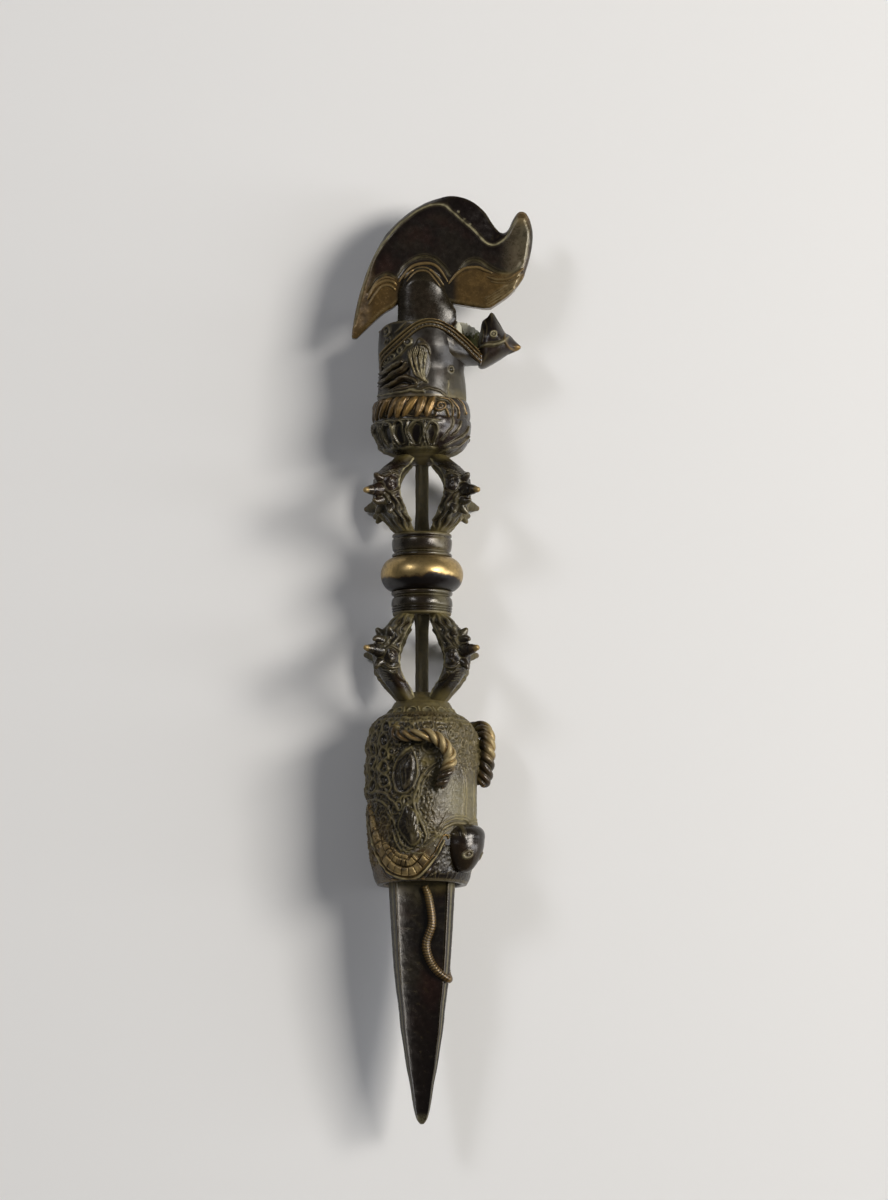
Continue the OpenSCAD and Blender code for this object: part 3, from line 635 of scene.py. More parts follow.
def old_bronze(name, colours, bare, wear, dust, pale, red, rough, mouth=False):
    """Cast bronze under an old waxed patina.

    The skin of oxide and wax is nearly black, reddish where it is cuprite and olive where it is
    thin, and it shines softly. Hands have rubbed the raised carving down to the metal, and olive
    dust has settled in the hollows, where it is dull."""
    tree = new_material(name, colours.patina)
    add = partial(node, tree)
    where, clouds, patches, mottle, grain = noises(tree, (9, 0.55), (16, 0.6), (1.6, 0.65), (0.45, 0.7))
    relief, gold, dusty, deep, chalk = (add("Attribute", out="Fac", attribute_name=key)
        for key in ("relief", "gold", "dust", "deep", "chalk"))
    patchy = add("MapRange", [mottle, 0.3, 0.6, 0.5, 1.0])
    # Skin: thin and olive in swells of 9 mm, reddish in patches of 16 mm, mottled at 1.6 mm
    thin = add("MapRange", [clouds, 0.4, 0.68, 0.0, pale])
    reddish = add("MapRange", [patches, 0.48, 0.66, 0.0, red])
    # Painted shade: the deepest hollows are darkened to nearly black, and so is what a piece paints dark
    black = add("MapRange", [relief, -0.05, -0.14, 0.0, 0.85])
    black = add("Math", [black, deep], operation="MAXIMUM")
    skin_colour = overlaid(tree, colours.patina, ((thin, colours.patina_pale),
        (reddish, colours.patina_red), (black, colours.deep)))
    shade = add("MapRange", [mottle, 0.3, 0.7, 0.75, 1.3])
    skin_colour = add("VectorMath", {0: skin_colour, 3: shade}, operation="SCALE")
    # Dust lies in hollows deeper than some hundredths of a millimetre; the deepest are kept free of it, so
    # that their painted shade stays black
    settled = add("MapRange", [relief, -0.012, -0.06, 0.0, dust])
    settled = add("Math", [settled, add("MapRange", [relief, -0.08, -0.15, 0.0, dust])],
        operation="SUBTRACT")
    settled = add("Math", [settled, dusty], operation="MAXIMUM")
    settled = add("Math", [settled, patchy], operation="MULTIPLY")
    # Wear starts on what stands out of its surroundings
    rubbed = add("MapRange", [relief, 0.02, 0.12, 0.0, wear])
    rubbed = add("Math", [rubbed, add("MapRange", [clouds, 0.35, 0.62, 0.4, 1.0])], operation="MULTIPLY")
    gilt = add("Math", [gold, patchy], operation="MULTIPLY")
    # Pale paint is dust packed in lines, and elsewhere painted highlights and sheen
    pale_dust_and_highlight_share = add("Math", [chalk, patchy], operation="MULTIPLY")
    colour = overlaid(tree, skin_colour, ((settled, colours.dust), (rubbed, bare), (gilt, colours.worn),
        (pale_dust_and_highlight_share, colours.chalk)))
    roughness = add("MapRange", [mottle, 0.3, 0.7, rough - 0.05, rough + 0.1])
    metal = 0.2
    for share, rough_here, metal_here in (
        (settled, 0.8, 0.0), (rubbed, 0.36, 0.5), (gilt, 0.33, 0.85), (pale_dust_and_highlight_share, 0.8, 0.0),
    ):
        roughness = add("Mix", {0: share, 2: roughness, 3: rough_here})
        metal = add("Mix", {0: share, 2: metal, 3: metal_here})
    tall = add("Mix", {0: 0.3, 2: mottle, 3: grain})
    if mouth:
        # Out of reach inside the mouth it has turned green in streaks, with a white crust on its edge
        green, crust = (add("Attribute", out="Fac", attribute_name=key) for key in ("green", "crust"))
        long_ = add("Mapping", {"Vector": where, "Scale": (1.0, 0.25, 1.0)})
        streaks, crumbs = (
            add("TexNoise", {"Vector": spot, "Scale": 1 / (size * MM), "Roughness": 0.72})
            for spot, size in ((long_, 0.9), (where, 0.7)))
        crusty = add("Math", [crust, add("MapRange", [crumbs, 0.3, 0.7, -0.3, 0.3])], operation="ADD")
        crusty = add("MapRange", [crusty, 0.38, 0.6])
        streaky = add("MapRange", [streaks, 0.35, 0.65])
        spotty = add("MapRange", [mottle, 0.5, 0.7, 0.0, 0.8])
        greenish = overlaid(tree, colours.verdigris, ((streaky, colours.dust), (spotty, colours.patina)))
        colour = overlaid(tree, colour, ((green, greenish), (crusty, colours.crust)))
        dull = add("Math", [green, crusty], operation="MAXIMUM")
        roughness = add("Mix", {0: dull, 2: roughness, 3: 0.8})
        metal = add("Mix", {0: dull, 2: metal, 3: 0.0})
        tall = add("Mix", {0: add("MapRange", [dull, 0.0, 1.0, 0.0, 0.7]), 2: tall, 3: crumbs})
    bump = add("Bump", {"Strength": 0.32, "Distance": 0.22 * MM, "Height": tall})
    finished(tree, colour, roughness, metal, bump)


def knob_brass(name, colours):
    """Turned brass, rubbed bright by the hand, with the dark patina left round its lower edge."""
    tree = new_material(name, colours.brass)
    add = partial(node, tree)
    _, clouds, mottle, grain = noises(tree, (5, 0.62), (1.1, 0.65), (0.4, 0.7))
    left = add("Attribute", out="Fac", attribute_name="dust")
    # The dark band's edge is ragged: the painted band is shifted by swells of 5 mm
    ragged = add("Math", [left, add("MapRange", [clouds, 0.3, 0.7, -0.3, 0.3])], operation="ADD")
    dark = add("MapRange", [ragged, 0.4, 0.72])
    fringe = add("MapRange", [ragged, 0.15, 0.6, 0.0, 0.85])
    stain = add("MapRange", [mottle, 0.42, 0.75, 0.0, 0.5])
    colour = overlaid(tree, colours.brass, ((stain, colours.patina_pale), (fringe, colours.patina_red),
        (dark, colours.deep)))
    rough = add("MapRange", [mottle, 0.3, 0.7, 0.27, 0.4])
    metal = add("Mix", {0: dark, 2: 0.9, 3: 0.2})
    tall = add("Mix", {0: 0.4, 2: mottle, 3: grain})
    bump = add("Bump", {"Strength": 0.25, "Distance": 0.2 * MM, "Height": tall})
    finished(tree, colour, rough, metal, bump)


def pale_floor(name, colours):
    """A matt sheet of paper board: even, with the faintest tooth."""
    tree = new_material(name, colours.floor)
    _, tooth = noises(tree, (0.8, 0.5))
    bump = node(tree, "Bump", {"Strength": 0.08, "Distance": 0.2 * MM, "Height": tooth})
    finished(tree, colours.floor, 0.9, 0.0, bump)


DARK = "Patinated bronze, dark and waxed"
CARVED = "Patinated bronze, carved and dusty"
PALE = "Patinated bronze, thin and olive"
RUBBED = "Patinated bronze, rubbed to the metal"
MOUTH = "Patinated bronze with a green mouth"
BRASS = "Rubbed brass with patina left on it"


# The camera looks down on the dagger from a little on the tip's side
TILT = 7.0
CAMERA_AWAY = 4.5
AIM_RIGHT, AIM_HEIGHT = 7.0, 167.0
# The photograph's longer side covers this much at the axis, in mm
FRAME_LONG = 381.2


def make_stage(context, colours):
    """Floor, lamps, world and camera."""
    scene = context.scene
    scene.view_settings.view_transform = "Standard"
    deselect()
    bpy.ops.mesh.primitive_plane_add(size=6, location=(0, 0, cad_box[0][2] - 0.0002))
    floor = bpy.context.object
    floor.name = "floor"
    bpy.ops.object.transform_apply(location=True, rotation=True, scale=True)
    floor.data.materials.append(pale_floor("Pale paper board", colours))

    world = bpy.data.worlds.new("soft room")
    scene.world = world
    world.use_nodes = True
    background = world.node_tree.nodes["Background"]
    background.inputs["Color"].default_value = linear("#eef0f2")
    background.inputs["Strength"].default_value = 0.11

    # Name, place seen from the middle of the dagger in metres, size, watts, colour
    lamps = [
        ("key softbox", (1.4, 0.34, 1.5), (0.55, 0.9), 37.0, "#fffaf2"),
        ("right card", (1.5, -0.1, 0.32), (0.3, 1.6), 12.0, "#fbfcff"),
        ("left fill", (-1.1, 0.9, 1.6), (0.35, 0.5), 8.0, "#fafaff"),
    ]
    for name, spot, size, watts, colour in lamps:
        bpy.ops.object.light_add(type="AREA", location=spot)
        lamp = bpy.context.object
        lamp.name = name
        lamp.data.shape = "RECTANGLE"
        lamp.data.size, lamp.data.size_y = size
        lamp.data.energy = watts
        lamp.data.color = linear(colour, alpha=False)
        way = -lamp.location
        lamp.rotation_euler = way.to_track_quat("-Z", "Y").to_euler()

    aim = laid([AIM_RIGHT, AIM_HEIGHT, 0])
    tilt = radians(TILT)
    bpy.ops.object.camera_add(location=(aim[0], aim[1] - CAMERA_AWAY * sin(tilt),
        aim[2] + CAMERA_AWAY * cos(tilt)), rotation=(tilt, 0, 0))
    camera = bpy.context.object
    camera.name = "camera"
    camera.data.sensor_width = 36
    camera.data.lens = 36 * CAMERA_AWAY / (FRAME_LONG * MM)
    camera.data.clip_start, camera.data.clip_end = 0.05, 20
    scene.camera = camera


def lathe(name, outline, steps=160):
    """A shape turned round the axis: its outline is drawn by extruding a point, and spun."""
    places = laid([(out, height, 0) for out, height in outline])
    deselect()
    bpy.ops.mesh.primitive_plane_add(size=0.001, location=tuple(places[0]))
    piece = named(name)
    bpy.ops.object.transform_apply(location=True, rotation=True, scale=True)
    open_mesh(piece)
    bpy.ops.mesh.merge(type="CENTER")
    for start, end in zip(places[:-1], places[1:]):
        bpy.ops.mesh.extrude_region_move(TRANSFORM_OT_translate={"value": tuple(end - start)})
    bpy.ops.mesh.select_all(action="SELECT")
    bpy.ops.mesh.spin(steps=steps, angle=2 * pi, center=tuple(laid([0, 0, 0])), axis=(0, 1, 0))
    bpy.ops.object.mode_set(mode="OBJECT")
    drop_uv_maps(piece)
    close_up(piece)
    return piece


def cast_uneven(piece, amount, size=7.0, seed=3):
    """Moves a turned shape's points in and out a little, as hand work is uneven."""
    turn, out, height = by_axis(piece)
    a = np.radians(turn)
    swell = amount * ripple(out * np.cos(a) * 1.3 + height * 0.4, out * np.sin(a) + height, size, seed)
    keep = np.clip(out / 3 - 1.4, 0, 1)
    move_points(piece, place(turn, out + swell * keep, height))


def make_knob(sizes):
    """The brass knob: a flattened ring with a soft belly."""
    low, high = Z_KNOB, Z_UPPER_COLLAR
    reach = node_box("knob")[1][0] - AXIS_X
    half = (high - low) / 2
    bulge = half * 0.92
    belly = [(reach - bulge + bulge * abs(cos(a)) ** 0.92, low + half * (1 + sin(a)))
        for a in np.linspace(-pi / 2, pi / 2, 40)]
    knob = lathe("knob_brass", [(0, low)] + belly + [(0, high)])
    cast_uneven(knob, 0.07)
    turn, _, height = by_axis(knob)
    # A dark band is painted on the side towards the blade, higher at the middle of the front: partly patina
    # left there, partly a painted dark reflection
    edge = low + 3.3 + 0.9 * np.cos(np.radians(turn)) + 0.5 * np.sin(np.radians(3 * turn))
    set_fields(knob, dust=ease(1.6, -1.6, height - edge))
    finish_piece(knob, BRASS, "knob", rounds=14)


def make_rod(sizes):
    """The square rod that holds the stack together, bare and dusty between the prongs."""
    low, high = height_of("core_rod", 0), height_of("core_rod", 1)
    turn = np.linspace(-180, 180, 65)[None]
    height = np.linspace(low, high, 180)[:, None]
    # A square with rounded corners, turned a little on the axis
    a = np.radians(turn - ROD_TURN)
    out = ROD_SIDE / 2 / (np.abs(np.cos(a)) ** 9 + np.abs(np.sin(a)) ** 9) ** (1 / 9)
    # It spreads where it stands on each collar
    off = np.minimum(np.abs(height - Z_LOWER_COLLAR), np.abs(height - Z_UPPER_CAGE))
    out = out * (1 + 0.05 * ripple(turn / 40, height, 4, 15) + 0.5 * np.exp(-off / 1.6))
    rod = shell("rod_bronze", turn, out, height, [(0, low)], [(0, high)], dust=0.55)
    finish_piece(rod, PALE, "core_rod", rounds=6)


# Outlines of the collars: distance from the axis and distance from the knob's face, in mm
LOWER_COLLAR = [(9.5, 0.0), (9.75, 0.3), (9.6, 1.0), (9.0, 1.35), (8.95, 1.7), (9.45, 2.4), (9.7, 3.6),
    (9.65, 4.7), (9.3, 5.05), (9.6, 5.3), (9.6, 5.6), (9.2, 5.85), (9.5, 6.1), (9.5, 6.4), (9.1, 6.65),
    (9.35, 6.9), (9.2, 7.5)]
UPPER_COLLAR = [(9.2, 0.0), (9.5, 0.3), (9.45, 0.9), (8.85, 1.3), (8.8, 1.7), (9.3, 2.4), (9.55, 4.0),
    (9.5, 5.5), (9.1, 5.9), (9.15, 6.2), (9.45, 6.6), (9.4, 7.1), (9.0, 7.5)]


def make_collars(sizes):
    """The barrel collars on both sides of the knob."""
    for side, face, way, places in (
        ("lower", Z_KNOB, -1, LOWER_COLLAR), ("upper", Z_UPPER_COLLAR, 1, UPPER_COLLAR),
    ):
        wall = [(out, face + way * off) for out, off in curve(places, 4)]
        outline = [(0, face)] + wall + [(0, face + way * places[-1][1])]
        collar = lathe(f"{side}_collar_bronze", outline)
        cast_uneven(collar, 0.08, 6, seed=6 + way)
        turn, out, height = by_axis(collar)
        off = np.abs(height - face)
        grime = ease(6.4, 7.4, off) * ease(5, 8.6, out)
        seam = bell(off - 1.5, 0.35)
        # Its front is painted darker as shade, and its right side with a silvery highlight
        painted_highlight = 0.2 * ease(16, 34, turn) * ease(70, 44, turn)
        set_fields(collar, dust=np.maximum(0.7 * grime, 0.4 * seam), chalk=painted_highlight,
            deep=0.7 * ease(22, 8, np.abs(turn)))
        finish_piece(collar, DARK, f"{side}_collar", rounds=10)


ROD_SIDE, ROD_TURN = 3.5, 20
# Share of the blade's full width over its share of length, measured along its outline
BLADE_TAPER = [(0, 0.05), (0.013, 0.13), (0.033, 0.19), (0.085, 0.276), (0.163, 0.36), (0.24, 0.47),
    (0.32, 0.556), (0.4, 0.646), (0.48, 0.7), (0.56, 0.777), (0.64, 0.84), (0.72, 0.885), (0.87, 0.95),
    (1, 1)]
BLADE_R = 10.9
# How far the blade's root goes into the lower mouth
ROOT_L = 3.9


def blade_share(height):
    return read_line(curve(BLADE_TAPER, 6), np.asarray(height) / Z_HEAD)


def blade_face(sizes):
    """Distance from the axis to a face's flat and half that face's width, at the full width."""
    land = sizes.blade_land / MM
    flat = BLADE_R * cos(pi / 3) + land / 2 * sin(pi / 3)
    half = BLADE_R * sin(pi / 3) - land / 2 * cos(pi / 3)
    return flat, half


def face_out(sizes, across):
    """Distance from the axis to the hollow of a face, at a share across it."""
    flat, _ = blade_face(sizes)
    v = np.abs(np.asarray(across, float))
    # The hollow drops from the land by a small step, and is then a shallow curve
    step = 0.3 * ease(1.0, 0.93, v)
    return flat - step - (sizes.blade_hollow / MM - 0.3) * (1 - v**2) ** 0.8


def make_blade(sizes):
    """The three-edged blade: a flat land along each edge, a long hollow between them."""
    _, half = blade_face(sizes)
    v = np.concatenate([[-1], np.linspace(-0.985, -0.9, 5), np.linspace(-0.86, 0.86, 26),
        np.linspace(0.9, 0.985, 5), [1]])
    face = np.stack([v * half, face_out(sizes, v)], -1)
    # Between two faces the land runs flat, its two arrises a little rounded
    edge = (0.12, 0.3, 0.5, 0.7, 0.88)
    heights = np.concatenate([np.linspace(0, 1, 9)[:-1] ** 2, np.linspace(1, 10, 26)[:-1],
        np.linspace(10, Z_HEAD, 130), [Z_HEAD + 2, Z_HEAD + ROOT_L]])
    share = blade_share(np.minimum(heights, Z_HEAD))
    rows = []
    for z, s in zip(heights, share):
        ring = []
        for turn in (0, 120, 240):
            this_face = np.stack(turned(turn, *face.T), -1)
            end, start = this_face[-1], np.array(turned(turn + 120, *face[0]))
            ring += list(this_face) + [end + (start - end) * k for k in edge]
        ring.append(ring[0])
        rows.append([(x * s, z, y * s) for x, y in ring])
    rows = np.array(rows)
    # The tip is a small rounded nub, and both ends are closed on the axis
    rows[0, :, [0, 2]] = 0
    top = rows[-1].copy()
    top[:, [0, 2]] = 0
    rows = np.concatenate([rows, top[None]])
    blade = skin("blade_bronze", laid(rows))
    turn, out, height = by_axis(blade)
    x = out * np.sin(np.radians(turn))
    hammered = 0.05 * ripple(turn / 9, height, 3.2, 11) * ease(1, 8, height)
    dents = 0.09 * np.clip(ripple(turn / 14, height, 2.4, 12) - 0.25, 0, 1)
    move_points(blade, place(turn, np.maximum(out + (hammered - dents) * (out > 2), 0), height))
    near_mouth = ease(Z_HEAD - 5, Z_HEAD + 1, height + 1.2 * ripple(x, turn / 8, 3, 4))
    across = np.abs((turn + 60) % 120 - 60) / 60
    land_here = ease(0.75, 0.9, across)
    red_zone = ease(45, 25, height) * (1 - land_here) * ease(0.2, 0.5, across)
    low_half = 0.8 * ease(48, 30, height)
    mouth_dust = ease(Z_HEAD - 9, Z_HEAD, height + 2 * ripple(x, turn / 8, 4, 5))
    # The arrises are painted with thin pale highlights and the tip paler; the lands and the lower half are
    # painted darker, and dust lies by the mouth
    set_fields(blade, chalk=0.4 * ease(0.955, 0.99, across) + 0.2 * ease(4, 1, height),
        deep=np.maximum(np.maximum(0.75 * red_zone, low_half), 0.6 * land_here),
        dust=np.maximum(0.75 * near_mouth, 0.45 * mouth_dust * ease(0.7, 0, across)))
    finish_piece(blade, DARK, "blade", rounds=8)


# Route of the serpent: down the front face, over the right edge, and back up the next face,
# as shares across the face and along the blade
SERPENT_FRONT = [(0.1, 0.985), (0.28, 0.93), (0.4, 0.83), (0.18, 0.745), (0.34, 0.68), (0.72, 0.63)]
SERPENT_SIDE = [(-0.74, 0.63), (-0.55, 0.7), (-0.4, 0.77), (-0.56, 0.86), (-0.42, 0.98)]
SERPENT_LOW = 0.6
SCALE_PITCH = 0.9


def make_serpent(sizes):
    """The serpent that winds down the blade, with fine scales across its back."""
    _, half = blade_face(sizes)
    thick = sizes.serpent_d / MM

    def on_face(turn, v, length):
        s = float(blade_share(length * Z_HEAD))
        right, front = turned(turn, v * half * s, float(face_out(sizes, v)) * s + thick * 0.34)
        return right, length * Z_HEAD, front

    points = [on_face(0, v, h) for v, h in SERPENT_FRONT]
    s = float(blade_share(SERPENT_LOW * Z_HEAD))
    points.append(tuple(upright(60, BLADE_R * s + thick * 0.3, SERPENT_LOW * Z_HEAD)))
    points += [on_face(120, v, h) for v, h in SERPENT_SIDE]
    steps, sides = 26, 22
    path = curve(points, steps)
    n = len(path)
    along = np.linspace(0, 1, n)
    radius = thick / 2 * (1 - 0.45 * along**3) * (1 - 0.25 * (1 - along) ** 8)
    tube = tube_points(path, radius, sides, flat=0.92)
    length = run_of(path)
    length = np.concatenate([[0], length, length[-1:]])[:, None]
    around = np.linspace(0, 2 * pi, sides + 1)[None]
    # Scales, swept back in a chevron over the ridge of the back
    sweep = length / SCALE_PITCH + 0.45 * np.abs(np.cos(around))
    scale = np.abs((sweep % 1) - 0.5) * 2
    centre = np.concatenate([path[:1], path, path[-1:]])[:, None]
    tube = centre + (tube - centre) * (1 + 0.09 * (0.5 - scale))[..., None]
    # Only the ridge of its back, turned away from the blade, is painted bright: a painted highlight with a
    # little gold of wear; the rest is painted dark
    step = np.concatenate([[0], np.arange(n), [n - 1]]) / steps
    face = np.radians(np.interp(step, [4.8, 6, 7.2], [0, 60, 120]))
    normal = np.stack([np.sin(face), 0 * face, np.cos(face)], -1)[:, None]
    lift = np.sum((tube - centre) * normal, -1) / (thick / 2)
    back = ease(0.84, 0.96, lift)
    head_dust = 0.6 * ease(Z_HEAD - 12, Z_HEAD, tube[..., 1])
    serpent = skin("serpent_bronze", laid(tube), chalk=0.22 * back, deep=0.95 - 0.75 * back,
        gold=0.1 * back, dust=head_dust)
    finish_piece(serpent, RUBBED, "serpent", rounds=5)


NECK_PETALS, PETALS_R = 14, 11.3
NECK_OUTLINE = [(12.6, 0), (12.0, 0.5), (11.3, 1.3), (10.5, 2.2), (9.8, 3.2), (9.3, 4.2), (8.7, 5.1)]


def make_neck(sizes):
    """The small neck over the lower head, with sunk oval petals and dust between the prongs' feet."""
    low, high = Z_NECK - 2.6, Z_LOWER_CAGE
    turn = np.linspace(-180, 180, 361)[None]
    share = np.linspace(0, 1, 60)[:, None]
    out = read_line(curve(NECK_OUTLINE, 8), share * NECK_OUTLINE[-1][1], 1)
    turn, out, height = np.broadcast_arrays(turn, out, low + (high - low) * share)
    around = PETALS_R * np.radians(turn)
    carve = Carving(around, height, wrap=2 * pi * PETALS_R, askew=0.0)
    pitch = 2 * pi * PETALS_R / NECK_PETALS
    for i in range(NECK_PETALS):
        x = (i + 0.35 + 0.08 * sin(i * 2.4)) * pitch
        carve.leaf(x, low + 1.8, 3.9, 2.7, 0, 0.35, power=0.5, chalk=0.3)
        # The sunk middle of each petal is painted dark as shade
        carve.leaf(x, low + 1.8, 2.9, 1.8, 0, -0.8, power=0.5, clean=1, deep=0.8)
        carve.stroke([(x + pitch / 2 - 0.5, low + 3.0), (x + pitch / 2, low + 1.8),
            (x + pitch / 2 + 0.3, low + 0.7)], 0.8, 0.4, chalk=0.35)
    carve.lay(ridge(height - low - 0.35, 0.35), 0.35, {"chalk": 0.3})
    swell = carve.total() + 0.09 * ripple(around, height, 2.5, 6)
    # A mound of dust and wax rises between the prongs' feet
    mound = [(8.1, high + 0.3), (6.6, high + 1.0), (4.6, high + 2.2), (2.8, high + 3.4), (0, high + 3.6)]
    neck = shell("neck_bronze", turn, out + swell, height, [(0, low), (6, low)], mound,
        **carve.paints(dust=0.75))
    finish_piece(neck, CARVED, "neck_ring", rounds=10)


def make_pins(sizes):
    """The hidden pins are the solids themselves, with the bronze's finish."""
    for pin in ("lower_pin", "upper_pin"):
        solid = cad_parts[pin]
        solid.data.materials.clear()
        solid.data.materials.append(bpy.data.materials[DARK])


def fold(turn, middle):
    """Turns folded over a middle, so that what is carved on one side of it is on the other too."""
    return middle - np.abs((np.asarray(turn) - middle + 180) % 360 - 180)


def seen(points, radius):
    """Points on a round body, from where the camera sees them: right of the axis and height in mm.

    Gives how far round from the front and how high they are, both in mm."""
    p = np.atleast_2d(np.asarray(points, float))
    a = np.arcsin(np.clip(p[:, 0] / radius, -0.999, 0.999))
    nearer = radius * np.cos(a) * sin(radians(TILT))
    return [(float(r), float(h)) for r, h in zip(radius * a, p[:, 1] - nearer)]


HEAD_R = 17.4
SNOUT_TURN = 60
# Outline of the lower head: distance from the axis, and height over the blade's tip, in mm
HEAD_OUTLINE = [(14.2, 76.0), (15.2, 78.2), (15.8, 81.5), (16.6, 87), (17.05, 92), (17.4, 101),
    (17.4, 117.5), (17.1, 121.5), (16.5, 124.8), (15.3, 127.2), (13.4, 129.2), (12.0, 130.1)]


def head_radius(height):
    return read_line(curve(HEAD_OUTLINE, 10), height, 1)


def carve_lower_head(carve):
    """Mane, ears, cheeks, brows and gums of the monster's head, from its snout round to its back."""
    def at(*points):
        return seen(points, HEAD_R)

    pale = {"dust": 0.95, "chalk": 0.1}
    # Border under the neck, with fine notches
    for level in (127.9, 126.6):
        carve.lay(ridge(carve.y - level, 0.35), 0.35, pale)
    notch = np.clip(np.cos(carve.x * 2 * pi / 0.9), 0, 1) * (np.abs(carve.y - 127.25) < 0.45)
    carve.lay(notch, 0.2, pale)
    # Mane: columns of chained loops, each with a sunk middle painted dark as shade, from the ear to the
    # back
    columns = [(-13.2, 4.3, 125.0), (-18.6, 3.9, 126.2), (-24.4, 4.4, 125.2), (-30.2, 4.0, 126.4)]
    for column, (x, tall, first) in enumerate(columns):
        for i in range(6 if column % 2 else 5):
            y = first - i * tall
            lean = 0.5 if column % 2 else -0.5
            loop = [(x - 2.1, y - lean), (x - 1.3, y + 1.6), (x + 0.7, y + 1.7), (x + 2.1, y + lean),
                (x + 1.2, y - 1.6), (x - 1.0, y - 1.7), (x - 2.1, y - lean)]
            carve.leaf(x, y, 3.2, 3.8, 20 * lean, -0.5, clean=1, deep=0.7)
            carve.stroke(loop, 1.05, 0.8, thin=0, steps=4, **pale)
            carve.leaf(x, y, 1.5, 2.0, 20 * lean, 0.55, clean=1)
            carve.stroke([(x - 1.6, y + 1.6), (x, y + 2.4), (x + 1.5, y + 3.0)], 0.8, 0.5, **pale)
        if column:
            edge = [(x + 2.9, first + 2), (x + 3.1, first - 7), (x + 2.7, first - 15),
                (x + 3.1, first - 23)]
            carve.stroke(edge, 0.9, 0.55, thin=0.2, **pale)
    # Long strand between the mane and the ear
    carve.stroke(at((-9.0, 126.8), (-10.0, 122), (-12.2, 116.5), (-13.4, 111.5), (-12.6, 108.6)), 1.3,
        0.8, **pale)
    # Big ear: an almond with rims round a raised lens, dark and smooth
    ear = at((-3.1, 120.4), (-6.4, 118.2), (-8.5, 114.0), (-9.0, 109.6), (-7.4, 106.0), (-4.7, 105.7),
        (-2.5, 108.2), (-1.3, 111.4), (-1.7, 116.6))
    carve.pad(ear, 0.3, 0.8, clean=0.6)
    carve.stroke(ear + ear[:1], 0.9, 0.6, thin=0, **pale)
    middle = np.mean(ear, axis=0)
    carve.leaf(middle[0] + 0.3, middle[1], 5.6, 12.4, 9, -0.3, power=0.6, deep=0.5)
    carve.leaf(middle[0] + 0.5, middle[1] + 0.2, 4.7, 11.6, 9, 1.5, power=0.6, clean=1)
    for shift in (-0.9, 0.2):
        carve.stroke([(middle[0] + shift + 0.7, middle[1] + 4), (middle[0] + shift, middle[1]),
            (middle[0] + shift - 0.1, middle[1] - 4)], 0.4, -0.25, dust=0.4)
    # Second ear strand beside it, towards the horn
    carve.stroke(at((1.0, 112.8), (-0.6, 109.0), (-1.3, 105.2), (-2.2, 102.4)), 0.9, 0.6, **pale)
    # Cheek: a leaf with veins, and the knots over it
    cheek = at((-4.6, 101.8), (-6.9, 98.0), (-6.9, 94.4), (-5.2, 90.4), (-2.4, 89.2), (-0.6, 91.4),
        (-0.9, 96.4), (-2.6, 100.4))
    carve.pad(cheek, 1.7, 2.6, clean=0.9)
    carve.stroke(cheek + cheek[:1], 0.9, 0.55, thin=0, **pale)
    base = at((-2.6, 90.6))[0]
    for tip in at((-4.9, 97.6), (-3.9, 99.4), (-2.4, 100.2), (-1.0, 98.8), (-0.3, 96.2)):
        carve.stroke([base, ((base[0] + tip[0]) / 2 - 0.4, (base[1] + tip[1]) / 2), tip], 0.45, -0.3,
            dust=0.4)
    for spot, radius in (((-4.4, 102.9), 1.4), ((-7.2, 101.4), 1.2), ((-2.2, 103.8), 0.9),
            ((-9.4, 118.6), 1.1), ((-10.6, 107.0), 1.1), ((-11.4, 112.6), 0.9)):
        x, y = at(spot)[0]
        carve.ring(x, y, radius, 0.75, 0.55, **pale)
        carve.ring(x, y, 0, 0.9, 0.45)
    # Long S-shaped brow line that runs down to the corner of the mouth
    carve.stroke(at((3.8, 114.9), (0.3, 111.5), (-1.3, 108.0), (-2.6, 104), (-1.7, 99.5), (0.4, 95.7),
        (1.3, 92.7), (0.6, 90.1)), 1.2, 0.85, thin=0.3, **pale)
    carve.stroke(at((3.9, 113.4), (0.9, 109.8), (-0.2, 106.2), (-1.2, 102.6), (-0.4, 98.6), (1.6, 95.2),
        (2.4, 92.0)), 0.65, 0.5, **pale)
    for i in range(9):
        y = 109.0 - 1.7 * i
        x = 0.6 + 0.75 * sin(i * 0.8)
        carve.curl(*at((x + 1.7, y))[0], 0.85, 1.2, 40 * i, 0.5, 0.38)
    # Arches over the mouth's corner, with notches between them
    carve.stroke(at((-17.1, 105.5), (-13.2, 105.9), (-10.2, 104.2), (-7.7, 100.8)), 1.3, 0.9, **pale)
    carve.stroke(at((-17.1, 103.0), (-14.1, 103.4), (-11.1, 101.2), (-9.4, 98.6)), 1.0, 0.7, **pale)
    for i in range(6):
        x = -16.4 + 1.7 * i
        carve.stroke(at((x, 104.7 - 0.1 * i**1.6), (x + 0.7, 103.7 - 0.1 * i**1.6)), 0.5, 0.35, steps=1)
    # Folds between the cheek and the gums
    for line, width in (
        (((-10.5, 99.0), (-8.6, 96.5), (-8.0, 93.4), (-6.4, 89.6), (-3.0, 87.6)), 0.9),
        (((-9.6, 94.6), (-8.8, 91.0), (-6.4, 87.6), (-2.4, 86.2), (1.7, 87.2)), 0.7),
        (((0.4, 88.2), (3.4, 90.4), (6.0, 93.2), (8.3, 95.4)), 0.8),
        (((3.9, 89.0), (6.4, 92.4), (9.4, 94.8)), 0.6),
    ):
        carve.stroke(at(*line), width, 0.5, **pale)
